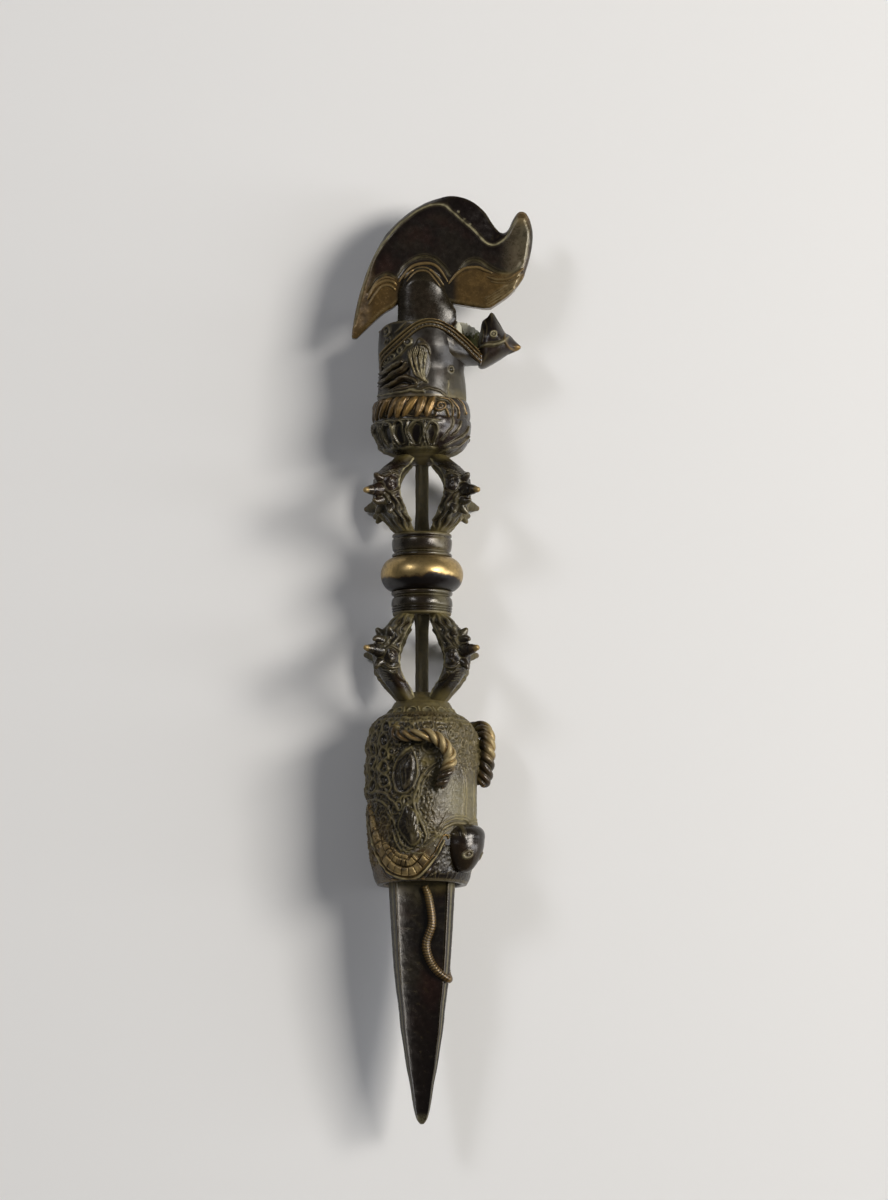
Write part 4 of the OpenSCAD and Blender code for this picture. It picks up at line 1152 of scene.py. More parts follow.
    # Forehead: a smooth nose bridge between two panels of fine scales, with a painted pale sheen on the
    # bridge
    bridge = radians(SNOUT_TURN) * HEAD_R
    half = 2.3
    for x in (bridge - half, bridge - half - 1.1):
        carve.stroke([(x, 96.0), (x + 0.2, 102), (x, 108.5), (x - 0.6, 112)], 0.7, 0.5, thin=0.1, **pale)
    inside = (np.abs(carve.x - bridge) < half) & (carve.y > 95) & (carve.y < 112)
    carve.lay(inside * 1.0, 0.35, {"chalk": 0.16}, flat=True)
    # Brow over the snout, in three folds
    brow = at((5.2, 91.6), (7.3, 94.4), (10.3, 95.9), (13.4, 95.6), (15.0, 94.6))
    for lift, width in ((0, 1.1), (1.2, 0.7), (2.2, 0.5)):
        carve.stroke([(x, y + lift) for x, y in brow], width, 0.65, **pale)
    # Small spiral over the forehead, and a fin behind each horn
    x, y = at((9.4, 124.6))[0]
    carve.curl(x, y, 1.5, 1.6, 200, 0.6, 0.5, **pale)
    for line in (((13.2, 128.2), (13.8, 124.4), (13.4, 120.8)), ((14.6, 128.4), (15.2, 125.0))):
        carve.stroke(at(*line), 1.2, 0.9, dust=0.5)
    # Scrolls between all these, finer on the forehead
    panel = ease(2, 5, carve.x) * ease(113, 110, carve.y) * ease(91, 94, carve.y)
    rest = (1 - panel) * np.maximum(ease(80, 83, carve.y), ease(2, 5, carve.x))
    rest = rest * (1 - 0.8 * ease(3, 6, carve.x) * ease(92, 88, carve.y))
    for smooth_place in (ear, cheek):
        rest = rest * (1 - inside_of(smooth_place, carve.x, carve.y))
    carve.scrolls(rest, 3.0, 25, 0.6, dust=1.0)
    carve.scrolls(rest, 2.0, 26, -0.5, dust=0.6)
    carve.scrolls(panel, 1.6, 27, -0.2, dust=0.5)
    # The hollow that the horn springs from, full of dust
    hollow = at((0.0, 121.2), (3.6, 120.8), (4.6, 117.0), (3.4, 112.8), (1.2, 111.8), (-0.6, 116.2))
    carve.pad(hollow, -0.45, 1.5, dust=1.0)


def make_lower_head(sizes):
    """The monster's head that holds the blade in its mouth, carved all over."""
    low, high = Z_HEAD, HEAD_OUTLINE[-1][1]
    turn = np.linspace(-120, 240, 441)[None]
    height = np.linspace(low, high, 176)[:, None]
    turn, height, out = np.broadcast_arrays(turn, height, head_radius(height))
    round_ = HEAD_R * np.radians(fold(turn, SNOUT_TURN))
    carve = Carving(round_, height, sizes.carving / MM)
    carve_lower_head(carve)
    # Its left edge bulges with the mane
    left_edge = ease(-10, -16, round_) * ease(94, 102, height)
    out = out + left_edge * (
        0.25 * np.sin(height * 2 * pi / 7.5 + 1) + 0.4 * ripple(height, height * 0, 5, 28))
    fade = ease(low, low + 1.2, height) * ease(high, high - 1.0, height)
    uneven = 0.12 * ripple(round_, height, 4, 21) + 0.06 * ripple(round_, height, 1.7, 22)
    # Bits of cast grit stand between the carved lines
    grit = 0.14 * np.clip(ripple(round_ * 3, height * 3, 2.2, 24) - 0.2, 0, 1)
    plain = ease(4, 7, round_) * ease(92, 88, height)
    grit, uneven = grit * (1 - plain), uneven * (1 - 0.6 * plain)
    mouth_r, floor = BLADE_R + 1.4, Z_HEAD + ROOT_L
    # Dust lies over the whole head, thick by the horns, and thin on the forehead and the jaw
    brow = ease(6, 12, round_) * ease(92, 97, height)
    jaw = ease(92, 84, height)
    horn_side = ease(-6, 2, round_)
    ground = 0.02 + 0.33 * horn_side * (1 - 0.5 * brow) + 0.4 * ease(108, 116, height) * brow
    ground = (ground - 0.2 * jaw) * ease(78, 82, height)
    foot = 0.9 * ease(81, 78.5, height)
    # Behind the right horn the metal swells out to it, thick with dust
    root = bell(turn - 99, 10) * bell(height - 119, 6.5)
    out, ground = out + 1.7 * root, np.maximum(ground, root)
    left = ease(-8, -14, round_) * ease(100, 92, height)
    shade = np.maximum(foot, 0.75 * ease(90, 84, height) * ease(18, 12, round_))
    # The pale paint on the forehead is a painted sheen
    paints = carve.paints(dust=ground, gold=0.15 * left, chalk=0.3 * brow * ease(112, 104, height),
        deep=shade)
    mouth = [(0, floor), (6, floor), (mouth_r - 0.4, floor), (mouth_r, floor - 0.5), (mouth_r, low + 0.6),
        (mouth_r + 0.4, low)]
    head = shell("lower_head_bronze", turn, out + (carve.total() + uneven + grit) * fade, height, mouth,
        [(9, high + 0.2), (0, high + 0.2)], **paints)
    finish_piece(head, CARVED, "lower_head", rounds=12)


# Lip of the lower mouth, from its left corner down round to the snout, as seen from the front:
# right of the axis and height over the tip, in mm
LOWER_LIP = [(-16.8, 101.0), (-16.4, 96.5), (-15.8, 91.6), (-15.0, 87.2), (-13.2, 82.4), (-10.2, 79.4),
    (-5.5, 78.2), (-1.3, 79.2), (2.6, 82.8), (5.1, 86.4), (7.6, 91.2)]
# Rows of teeth and gum lumps inside the lip, in mm: distance from the lip, half their height,
# pitch, first and last place along the lip, and how high they stand
TEETH = [(2.5, 1.45, 3.3, 19.5, 43.5, 1.25), (5.2, 1.1, 2.6, 15.0, 40.5, 0.9),
    (7.0, 0.7, 2.0, 17.0, 33.0, 0.6), (2.6, 1.5, 4.6, 2.0, 19.2, 0.9), (5.6, 1.3, 3.6, 1.0, 14.6, 0.8)]


def make_lower_jaw(sizes):
    """Lips with a bright edge, and the teeth and gums behind them, on both sides of the head."""
    depth = sizes.carving / MM
    columns, rows = 500, 88
    lip = curve(seen(LOWER_LIP, HEAD_R), 8)
    # The strip follows the lip, from below it to over the gums
    turn = np.linspace(SNOUT_TURN - 138, SNOUT_TURN - 17, columns + 1)
    u = np.radians(turn)[None] * HEAD_R
    edge = read_line(lip, u)
    top, bottom = edge + 9.5, np.maximum(edge - 3.0, Z_HEAD + 0.3)
    v = np.linspace(0, 1, rows)[:, None]
    u, height = np.broadcast_arrays(u, bottom + (top - bottom) * v)
    carve = Carving(u, height, askew=0.4)
    away, along = carve.reach(lip)
    along = along * np.hypot(*np.diff(lip, axis=0).T).sum()
    over = (height > edge) * 1.0
    # Golden ground behind the teeth; the gaps between the teeth are painted dark as shade
    ground = over * ease(8.2, 7.4, away) * ease(47, 43, along)
    carve.lay(ground, 0.1, {"gold": 0.2, "clean": 1}, flat=True)
    for middle, half, pitch, first, last, tall in TEETH:
        tile_x = ((along / pitch + 0.11 * np.sin(along * 1.9)) % 1 - 0.5) * 2
        tile_y = (away - middle) / half
        tile = np.sqrt(np.clip(1 - np.abs(tile_x) ** 5, 0, 1) * np.clip(1 - np.abs(tile_y) ** 4, 0, 1))
        here = over * ease(first - 0.6, first + 0.6, along) * ease(last + 0.6, last - 0.6, along)
        # The teeth's gold is wear, and their pale paint is a painted highlight
        carve.lay(tile * here, tall * depth, {"gold": 0.65, "chalk": 0.3, "clean": 1}, flat=True)
        gap = np.clip(1 - tile * 1.6, 0, 1) * here * (np.abs(tile_y) < 1.1)
        carve.lay(gap, -0.3 * depth, {"deep": 0.9, "clean": 1})
    # Scrolls on the gums at the corner
    for k in range(5):
        x, y = lip[int(3 + 5.2 * k)]
        carve.curl(x + 2.6, y + 0.4, 1.1, 1.3, 60 + 70 * k, 0.5, 0.4 * depth, gold=0.6)
    # Lip: a bright ridge, a fine line inside it and a dark flange under it
    carve.stroke([(x, y - 1.5) for x, y in lip[::3]], 1.8, 0.8 * depth, thin=0.1, steps=3, clean=1)
    carve.stroke(lip[::3], 1.1, 1.3 * depth, thin=0.1, steps=3, gold=0.3, chalk=0.65, clean=1)
    fine = ridge(away - 1.1, 0.3) * over
    carve.lay(fine, 0.7 * depth, {"gold": 0.5, "clean": 1})
    inside = np.minimum(v / 0.06, (1 - v) / 0.05)
    ends = np.minimum(turn - turn[0], turn[-1] - turn)[None] / 8
    sink = 0.35 * (1 - np.clip(inside, 0, 1)) + 0.35 * ease(0.82, 1, v)
    sink = np.minimum(np.maximum(sink, 0.62 * (1 - np.clip(ends, 0, 1))), 0.68)
    out = head_radius(height)
    outer, inner = out + 0.1 + carve.total() * ease(0.3, 1, ends) - sink, out - 0.6
    # The hidden wall needs few rows
    hidden = np.linspace(rows - 1, 0, 6).astype(int)
    cover = np.concatenate([np.ones(rows), np.zeros(len(hidden)), [1]])[:, None]
    paints = carve.paints(dust=0.4 * over, deep=0.55 * (1 - over))
    fields = {key: np.concatenate([value, value[hidden], value[:1]]) * cover
        for key, value in paints.items()}
    jaws = []
    for side in (1, -1):
        real = (SNOUT_TURN - side * (SNOUT_TURN - turn))[None]
        wall = place(real, outer, height)
        loop = np.concatenate([wall, place(real, inner, height)[hidden], wall[:1]])
        jaws.append(skin(f"jaw {side}", loop, **fields))
        close_ends(jaws[-1])
    jaw = joined(jaws, "lower_jaw_bronze")
    finish_piece(jaw, RUBBED, "lower_jaw", rounds=10)


def close_ends(piece):
    """Fills the open ends of a strip."""
    open_mesh(piece, "DESELECT", "EDGE")
    bpy.ops.mesh.select_non_manifold(extend=False)
    bpy.ops.mesh.fill_holes(sides=0)
    turn_outwards()


# The snout leans a little to the front of the place it grows from
EGG_TURN, EGG_HEIGHT = 56, 11.6


def make_lower_snout(sizes):
    """The bare snout over the blade: a glossy egg with folds over it and an eye on each side."""
    u = np.linspace(0, 2 * pi, 151)[None]
    v = np.linspace(0, pi, 110)[:, None]
    # The egg points down: it is widest above its middle
    rise = np.where(v < pi / 2, np.abs(np.cos(v)) ** 0.75 * 6.9, np.cos(v) * 8.8)
    wide = np.sin(v) ** 0.72 * (1 + 0.28 * np.cos(v) - 0.1 * np.cos(v) ** 2)
    side, front = 6.9 * wide * np.sin(u), 6.7 * wide * np.cos(u)
    rise, side, front = np.broadcast_arrays(rise, side, front)
    carve = Carving(side, rise)
    for radius in (6.2, 5.0):
        fold_line = np.hypot(side / 1.15, rise - 3.4) - radius
        carve.lay(ridge(fold_line, 0.4) * ease(1.0, 3.6, rise), 0.35, {"dust": 0.3})
    eye = np.hypot(np.abs(side) - 3.5, rise + 3.4)
    carve.lay(ridge(eye - 1.05, 0.36), 0.42, {"chalk": 0.6})
    carve.lay(ridge(eye, 0.45), 0.3, {"chalk": 0.3})
    grow = 1 + carve.total() / 6.3
    out = HEAD_R - 2.1 + np.maximum(front * grow, -3) - 0.16 * (rise - 2) * (rise < 2)
    right, front = turned(EGG_TURN, side * grow + 0.17 * rise, out)
    paints = carve.paints(deep=0.5 * ease(3.5, 0.5, rise), gold=0.04 * ease(2.5, -2.5, rise))
    snout = skin("lower_snout_bronze", place_flat(right, Z_HEAD + EGG_HEIGHT + rise, front), **paints)
    finish_piece(snout, DARK, "lower_snout", rounds=8)


# Middle line of a horn: degrees from its own place, height over the tip, share of its reach
HORN_ROUTE = [(46, 125.2, -0.7), (48, 123.2, 0.1), (40, 121.4, 0.45), (28, 121.2, 0.65),
    (12, 121.2, 0.85), (1, 118.8, 1), (-6, 115.0, 1), (-5, 111.6, 1), (-1, 107.8, 0.85), (1, 105.2, 0.6)]
HORN_TURN = 42
HORN_OUT = 6.4
STRANDS = 3
HORN_TWISTS = 4.4
# Shares of the horn's thickness: how far its strands lie off its middle, their radius and its core's
STRAND_OFF, STRAND_R, CORE_R = 0.275, 0.225, 0.14


def make_horn(sizes, side, lift, stout, name, solid):
    """A horn of three strands twisted together, from the crown forward and down to its butt."""
    thick = sizes.horn_d / MM * stout
    reach = HORN_OUT / stout**0.3 - thick / 2
    path = np.array([upright(SNOUT_TURN + side * (HORN_TURN + turn), HEAD_R + share * reach,
        height + lift * (0.6 + 0.4 * ease(104, 122, height)))
        for turn, height, share in curve(HORN_ROUTE, 14)])
    n = len(path)
    along = unit(np.gradient(path, axis=0))
    across = unit(np.cross(along, path * [1, 0, 1]))
    up = np.cross(across, along)
    share = np.linspace(0, 1, n)
    swell = 0.8 + 0.28 * ease(0.1, 0.5, share) - 0.25 * ease(0.92, 1.0, share)
    strands = []
    for k in range(STRANDS):
        turn = 2 * pi * (k / STRANDS + side * HORN_TWISTS * share)
        arm = thick * STRAND_OFF * swell
        centre = path + arm[:, None] * (across * np.cos(turn)[:, None] + up * np.sin(turn)[:, None])
        knots = 1 + 0.1 * np.sin(share * 40 + 2 * k)
        tube = tube_points(centre, thick * STRAND_R * swell * knots, sides=16, up_hint=up)
        strands.append(skin(f"{name}_{k}", laid(tube)))
    # A plain core ends in a dark blunt butt
    core = tube_points(path, thick * CORE_R * swell, sides=12, up_hint=up)
    strands.append(skin(f"{name}_core", laid(core)))
    horn = solid_of(strands, name, 0.18, rounds=1)
    keep_biggest(horn)
    turn, out, height = by_axis(horn)
    # The strands' backs are painted golden and pale, partly as wear of hands and partly as a painted
    # highlight, and the gaps are painted black as shade
    place_of = points_of(horn)
    off = np.full(len(place_of), 1.0)
    for spot in laid(path):
        off = np.minimum(off, np.linalg.norm(place_of - spot, axis=1) / (thick * MM))
    back = ease(0.32, 0.46, off)
    rubbed = ease(HEAD_R + 1.8, HEAD_R + 5.4, out) * ease(109, 113, height - lift) * back
    set_fields(horn, gold=0.7 * rubbed, chalk=0.5 * rubbed * ease(0.4, 0.5, off), deep=0.9 * (1 - back),
        dust=0.9 * ease(HEAD_R + 2.0, HEAD_R + 0.2, out))
    finish_piece(horn, RUBBED, solid, rounds=10)


def make_horns(sizes):
    """The two twisted horns of the lower head."""
    make_horn(sizes, -1, 0.3, 1.0, "left_horn_bronze", "lower_horn_left")
    make_horn(sizes, 1, 5.6, 1.27, "right_horn_bronze", "lower_horn_right")


# Outer and inner line of a prong over its rise from the collar: distance from the axis and rise
PRONG_OUTER = [(9.4, 0), (11.8, 2.4), (14.4, 5.0), (16.6, 7.8), (18.1, 10.8), (18.9, 14.0), (18.4, 17.6),
    (16.5, 21.0), (13.2, 24.2), (8.8, 28)]
PRONG_INNER = [(4.4, 0), (6.6, 2.9), (9.0, 5.6), (11.1, 8.5), (12.5, 11.4), (12.9, 14.4), (12.1, 17.8),
    (9.9, 21.2), (6.9, 24.0), (4.2, 28)]
# How wide it is, in even steps along it
PRONG_WIDE = [5.0, 7.0, 8.3, 8.3, 7.4, 6.2, 5.2]
PRONG_L = 28.0
NOSE_RISE = 12.0


def make_prong_model(depth):
    """One prong facing front, its collar end at rise 0: a sea monster that spits out a plain horn."""
    steps, columns = 20, 96
    outer, inner = curve(PRONG_OUTER, steps), curve(PRONG_INNER, steps)
    wide = np.interp(np.linspace(0, 1, len(outer)), np.linspace(0, 1, len(PRONG_WIDE)), PRONG_WIDE)
    centre, way = (outer + inner) / 2, outer - inner
    thick = np.linalg.norm(way, axis=1)
    way /= thick[:, None]
    length = run_of(centre)
    a = np.linspace(-pi, pi, columns + 1)
    box_x, box_y = (np.sign(w) * np.abs(w) ** 0.78 for w in (np.sin(a), np.cos(a)))
    # Round the section from its outer middle to its inner middle, in mm
    x, y = np.broadcast_arrays((np.abs(a) / pi * 10.6)[None], length[:, None])
    carve = Carving(x, y, depth)
    # Mane: wavy strands swept from the nose back to the collar, with deep gaps between them painted dark as
    # shade
    for line, width, height in (
        ([(0.6, 15.0), (1.7, 12.6), (0.7, 9.8), (1.6, 6.8), (0.5, 3.6), (1.0, 0.6)], 1.9, 1.0),
        ([(3.4, 14.4), (4.4, 11.6), (3.1, 8.8), (4.1, 5.8), (3.0, 2.8), (3.2, 0.4)], 1.7, 0.9),
        ([(5.8, 13.4), (6.5, 10.6), (5.3, 7.8), (6.2, 4.8), (5.0, 1.8)], 1.4, 0.7),
    ):
        carve.stroke(line, width, height, thin=0.35, chalk=0.12)
    for line in ([(2.3, 13.0), (2.9, 10.8), (1.9, 8.0), (2.7, 5.0), (1.8, 2.0)],
            [(4.9, 12.6), (5.5, 9.8), (4.2, 7.0), (5.2, 4.0), (4.2, 1.2)]):
        carve.stroke(line, 1.2, -1.0, thin=0.3, deep=0.8, clean=1)
    # A round eye with a spiral, its brow, and the folds of the jaw
    carve.leaf(4.0, 17.6, 3.6, 3.8, 15, 0.5, power=0.5)
    carve.curl(4.0, 17.6, 1.2, 1.4, 30, 0.5, 0.35, dust=0.4)
    for line, width, height in (([(1.6, 16.4), (2.8, 15.2), (4.6, 14.9), (6.4, 16.2)], 1.0, 0.8),
            ([(1.0, 20.2), (2.6, 21.6), (4.8, 21.4), (6.4, 19.6)], 1.0, 0.75),
            ([(1.6, 22.0), (3.4, 23.4), (5.6, 22.8)], 0.8, 0.5)):
        carve.stroke(line, width, height, chalk=0.15)
    carve.leaf(5.6, 24.6, 2.2, 4.4, 25, 0.7)
    # Fin with fine ribs on the outer side
    for k in range(6):
        carve.stroke([(0, 20.6 + k), (1.8, 21.6 + k)], 0.5, 0.35, steps=1, chalk=0.2)
    # Sunk oval near the collar, with a pale rim and its hollow painted dark as shade
    carve.ring(7.2, 3.0, 1.5, 0.7, 0.4, chalk=0.3)
    carve.leaf(7.2, 3.0, 2.2, 3.0, -10, -0.6, power=0.5, deep=0.7, clean=1)
    # Two border lines along each inner edge, over the whole plain horn, with a groove between them painted
    # dark as shade
    for offset, width in ((7.6, 0.95), (9.2, 0.8)):
        carve.stroke([(offset, 3), (offset, 12), (offset - 0.2, 24), (offset, 40)], width, 0.7, thin=0.1,
            chalk=0.75, dust=0.5)
    carve.stroke([(8.4, 6), (8.4, 12), (8.2, 24), (8.4, 40)], 0.6, -0.5, thin=0.1, deep=0.9)
    ends = np.clip(np.minimum(length, length[-1] - length) / 2.5, 0, 1)[:, None]
    grow = carve.total() * ends + 0.09 * ripple(x, y, 3, 31)
    side, lift = box_x[None] * wide[:, None] / 2, box_y[None] * thick[:, None] / 2
    grow = 1 + grow / np.maximum(np.hypot(side, lift), 0.5)
    body = np.stack([side * grow, centre[:, 1:] + way[:, 1:] * lift * grow,
        centre[:, :1] + way[:, :1] * lift * grow], -1)
    lids = [np.repeat(np.array([[[0, centre[k, 1], centre[k, 0]]]]), columns + 1, 1) for k in (0, -1)]
    body = skin("prong body", np.concatenate([lids[0], body, lids[1]]) * MM)
    # Nose: a blunt round bar that narrows to a rounded tip
    cap = np.linspace(0, pi / 2, 8)[1:]
    run = np.concatenate([np.linspace(14.4, 24.5, 26), 24.5 + 1.05 * np.sin(cap)])
    radius = np.interp(run, [14.4, 17.5, 20.0, 21.6, 22.1, 22.6, 24.5],
        [3.2, 2.7, 2.2, 1.85, 1.6, 1.65, 0.95])
    radius[-len(cap):] = 0.95 * np.cos(cap) ** 0.6 + 0.02
    rise = np.interp(run, [14.4, 18, 21, 25.6], np.array([1.0, 0.8, 0.3, -0.2]) + NOSE_RISE)
    bars = [(np.stack([0 * run, rise, run], -1), radius)]
    # Curled lips over and under it, and flames of the mane that stand out at each side
    for points, thickness in (
        ([(0, 15.4, 16.6), (0, 16.4, 18.8), (0, 17.4, 20.0), (0, 18.6, 20.6)], 1.9),
        ([(0, 10.2, 16.4), (0, 9.2, 18.6), (0, 8.8, 20.4), (0, 9.4, 21.6)], 1.8),
        ([(1.6, 8.2, 15.4), (2.4, 6.4, 16.6), (2.9, 5.2, 17.6)], 1.7),
        ([(-1.6, 8.2, 15.4), (-2.4, 6.4, 16.6), (-2.9, 5.2, 17.6)], 1.7),
        ([(2.2, 14.2, 15.8), (3.2, 15.2, 16.8), (3.6, 16.6, 17.6)], 1.5),
        ([(-2.2, 14.2, 15.8), (-3.2, 15.2, 16.8), (-3.6, 16.6, 17.6)], 1.5),
    ):
        bar = curve(points, 7)
        bars.append((bar, thickness * (1 - 0.78 * np.linspace(0, 1, len(bar)) ** 1.6)))
    shapes = [skin(f"prong bar {i}", tube_points(*bar, sides=18, up_hint=[0.3, 1, 0]) * MM)
        for i, bar in enumerate(bars)]
    model = solid_of([body] + shapes, "prong model", 0.25, rounds=1)
    keep_biggest(model)
    # The remesh drops the paint, so it is taken again from the nearest place on the drawn body
    side, rise, out = (points_of(model) / MM).T
    nearest = np.abs(length[None] - np.interp(rise, centre[:, 1], length)[:, None]).argmin(1)
    lift = (out - centre[nearest, 0]) * way[nearest, 0] + (rise - centre[nearest, 1]) * way[nearest, 1]
    turn = np.arctan2(side / (wide[nearest] / 2), lift / (thick[nearest] / 2))
    column = np.clip(np.rint((turn + pi) / (2 * pi) * columns), 0, columns).astype(int)
    on_nose = ease(20.2, 21.0, out)
    paints = {key: value[nearest, column] * (1 - on_nose) for key, value in carve.paints().items()}
    feet = np.maximum(ease(3.2, 0.4, rise), ease(23, 27.5, rise))
    inside = ease(1.4, -0.4, out - read_line(inner, rise, 1))
    paints["dust"] = np.clip(0.85 * feet + 0.75 * inside, 0, 0.9)
    # The groove behind the nose's tip is painted dark as shade
    paints["deep"] = np.maximum(paints["deep"], 0.7 * bell(out - 21.9, 0.5))
    set_fields(model, **paints)
    return model


def make_prongs(sizes):
    """Eight prongs in two cages, copied from one model."""
    model = make_prong_model(sizes.carving / MM)
    side0, rise0, out0 = (points_of(model) / MM).T
    feet_dust, pale_lines = get_field(model, "dust"), get_field(model, "chalk")
    cages = (("lower", Z_LOWER_COLLAR, -1, Z_LOWER_COLLAR - Z_LOWER_CAGE),
        ("upper", Z_UPPER_CAGE, 1, Z_LOTUS - Z_UPPER_CAGE))
    for cage, face, way, long_ in cages:
        for spot, turn in (
            ("front_left", -45), ("front_right", 45), ("back_left", -135), ("back_right", 135),
        ):
            deselect()
            prong = model.copy()
            prong.data = model.data.copy()
            prong.name = prong.data.name = f"{cage}_prong_{spot}_bronze"
            bpy.context.collection.objects.link(prong)
            # The plain horn takes up the difference between the two cages' lengths
            past = np.clip(rise0 - NOSE_RISE - 4, 0, None)
            rise = rise0 + past * (long_ - PRONG_L) / (PRONG_L - NOSE_RISE - 4)
            # Each was finished by hand, so its head leans a little its own way
            side = side0 + 0.35 * sin(turn * 1.7 + face) * ease(12, 24, out0)
            rise = rise + 0.4 * sin(turn * 2.3 + face) * ease(16, 24, out0)
            # The back ones' noses bend to the collar
            rise = rise - 1.6 * (abs(turn) > 90) * ease(15, 23, out0)
            right, front = turned(turn, side, out0)
            move_points(prong, place_flat(right, face + way * rise, front))
            open_mesh(prong)
            turn_outwards()
            # The front noses are rubbed golden, and the back ones are left to the dust
            gold, chalk, dust = (0.8, 0.3, 0) if abs(turn) < 90 else (0.2, 0.1, 0.6)
            tip = ease(23.8, 24.9, out0 + 0.5 * ripple(side0 * 3, rise0 * 3, 2, 33))
            set_fields(prong, gold=gold * tip, chalk=np.maximum(pale_lines, chalk * tip),
                dust=np.maximum(feet_dust * (1 - tip), dust * (1 - tip)))
            finish_piece(prong, CARVED, f"{cage}_prong_{spot}", rounds=10)
    bpy.data.objects.remove(model)


# The upper head looks to the right, so what is carved on its front is on its back too
UPPER_TURN = 90
LOTUS_OUTLINE = [(9.4, 0), (10.7, 0.5), (12.7, 1.7), (14.2, 3.6), (15.0, 5.6), (15.4, 7.6), (15.6, 9.4),
    (15.5, 10.9), (15.0, 11.7)]
LOTUS_R, THROAT_R = 14.6, 14.8


def make_lotus(sizes):
    """The lotus bulb under the upper head: dark sunk petals with pale rims."""
    low, high = Z_LOTUS, Z_HAIR
    turn = np.linspace(-180, 180, 441)[None]
    share = np.linspace(0, 1, 96)[:, None]
    out = read_line(curve(LOTUS_OUTLINE, 8), LOTUS_OUTLINE[-1][1] * share, 1)
    # The tips of its petals stand over the foot of the hair
    tips = 0.9 + 0.7 * ripple(turn / 12, turn * 0, 1.0, 44) + 0.25 * np.cos(np.radians(turn * sizes.petals))
    turn, out, height = np.broadcast_arrays(turn, out, low + (high + tips - low) * share)
    round_ = LOTUS_R * np.radians(fold(turn, UPPER_TURN))
    carve = Carving(round_, height, sizes.carving / MM)
    pitch = 2 * pi * LOTUS_R / sizes.petals
    first, mid = LOTUS_R * radians(12), low + 5.6
    pale = {"chalk": 0.28}
    for i in range(13):
        # No two petals are cut alike
        x, lean = first - i * pitch + 0.5 * sin(i * 2.7), 8 * sin(i * 1.9) - 4
        tall = 6.4 + 1.1 * sin(i * 1.3)
        carve.leaf(x, mid + 0.2, pitch * 0.94, 9.4, lean, 0.35, power=0.4)
        # The sunk middle of each petal is painted dark as shade
        carve.leaf(x, mid, pitch * 0.8, tall, lean, -1.3, power=0.3, deep=0.9, clean=1)
        petal = [(x - 0.9, mid - 3.5), (x - pitch * 0.38, mid - 0.4), (x - pitch * 0.33, mid + 2.7),
            (x, mid + 3.8), (x + pitch * 0.33, mid + 2.7), (x + pitch * 0.38, mid - 0.4),
            (x + 0.9, mid - 3.5)]
        carve.stroke(petal, 0.6, 0.5, thin=0.2, **pale)
        between = x - pitch / 2
        carve.leaf(between, mid + 1.6, 1.3, 4.6, lean, 0.6)
        carve.stroke([(between, mid - 3.2), (between - 0.15, mid), (between, mid + 3.2)], 0.5, 0.7,
            **pale)
        carve.stroke([(between + 1.1, mid - 4.4), (between, mid - 3.0), (between - 1.1, mid - 4.4)], 0.7,
            0.5, **pale)
    for level in (mid - 4.3, mid + 4.2):
        border = ridge(height - level - 0.15 * np.sin(round_), 0.4)
        carve.lay(border * ease(first + 4, first + 1, round_), 0.45, pale)
    # The throat is smooth, with long leaves that sweep up round it
    for line in (
        ((7.6, 216.4), (10.4, 217.6), (12.6, 219.6), (13.9, 222.4)),
        ((8.2, 214.8), (11.2, 215.6), (13.2, 217.2), (14.3, 219.4)),
        ((6.4, 218.2), (8.0, 220.6), (9.0, 223.2), (9.4, 226.2)),
        ((9.4, 219.6), (10.8, 221.4), (11.6, 224.4)),
    ):
        carve.stroke(seen(line, THROAT_R), 1.1, 0.8, thin=0.4, chalk=0.15)
    fade = ease(0, 0.06, share) * ease(1, 0.97, share)
    swell = (carve.total() + 0.1 * ripple(round_, height, 3, 41)) * fade
    between = ease(34, 14, np.abs((turn + 45) % 90 - 45))
    foot = 0.85 * between * ease(2.4, 0.6, height - low + 0.9 * ripple(round_, height, 2.5, 45))
    # A mound of dust and wax hangs between the prongs' ends
    mound = [(0, low - 3.2), (2.8, low - 3.0), (4.8, low - 2.0), (7.0, low - 1.0), (8.8, low - 0.4)]
    lotus = shell("lotus_bronze", turn, out + swell, height, mound,
        [(14.4, high + 0.4), (13, high), (0, high)], **carve.paints(dust=foot))
    finish_piece(lotus, CARVED, "lotus_bulb", rounds=12)


HAIR_R = 15


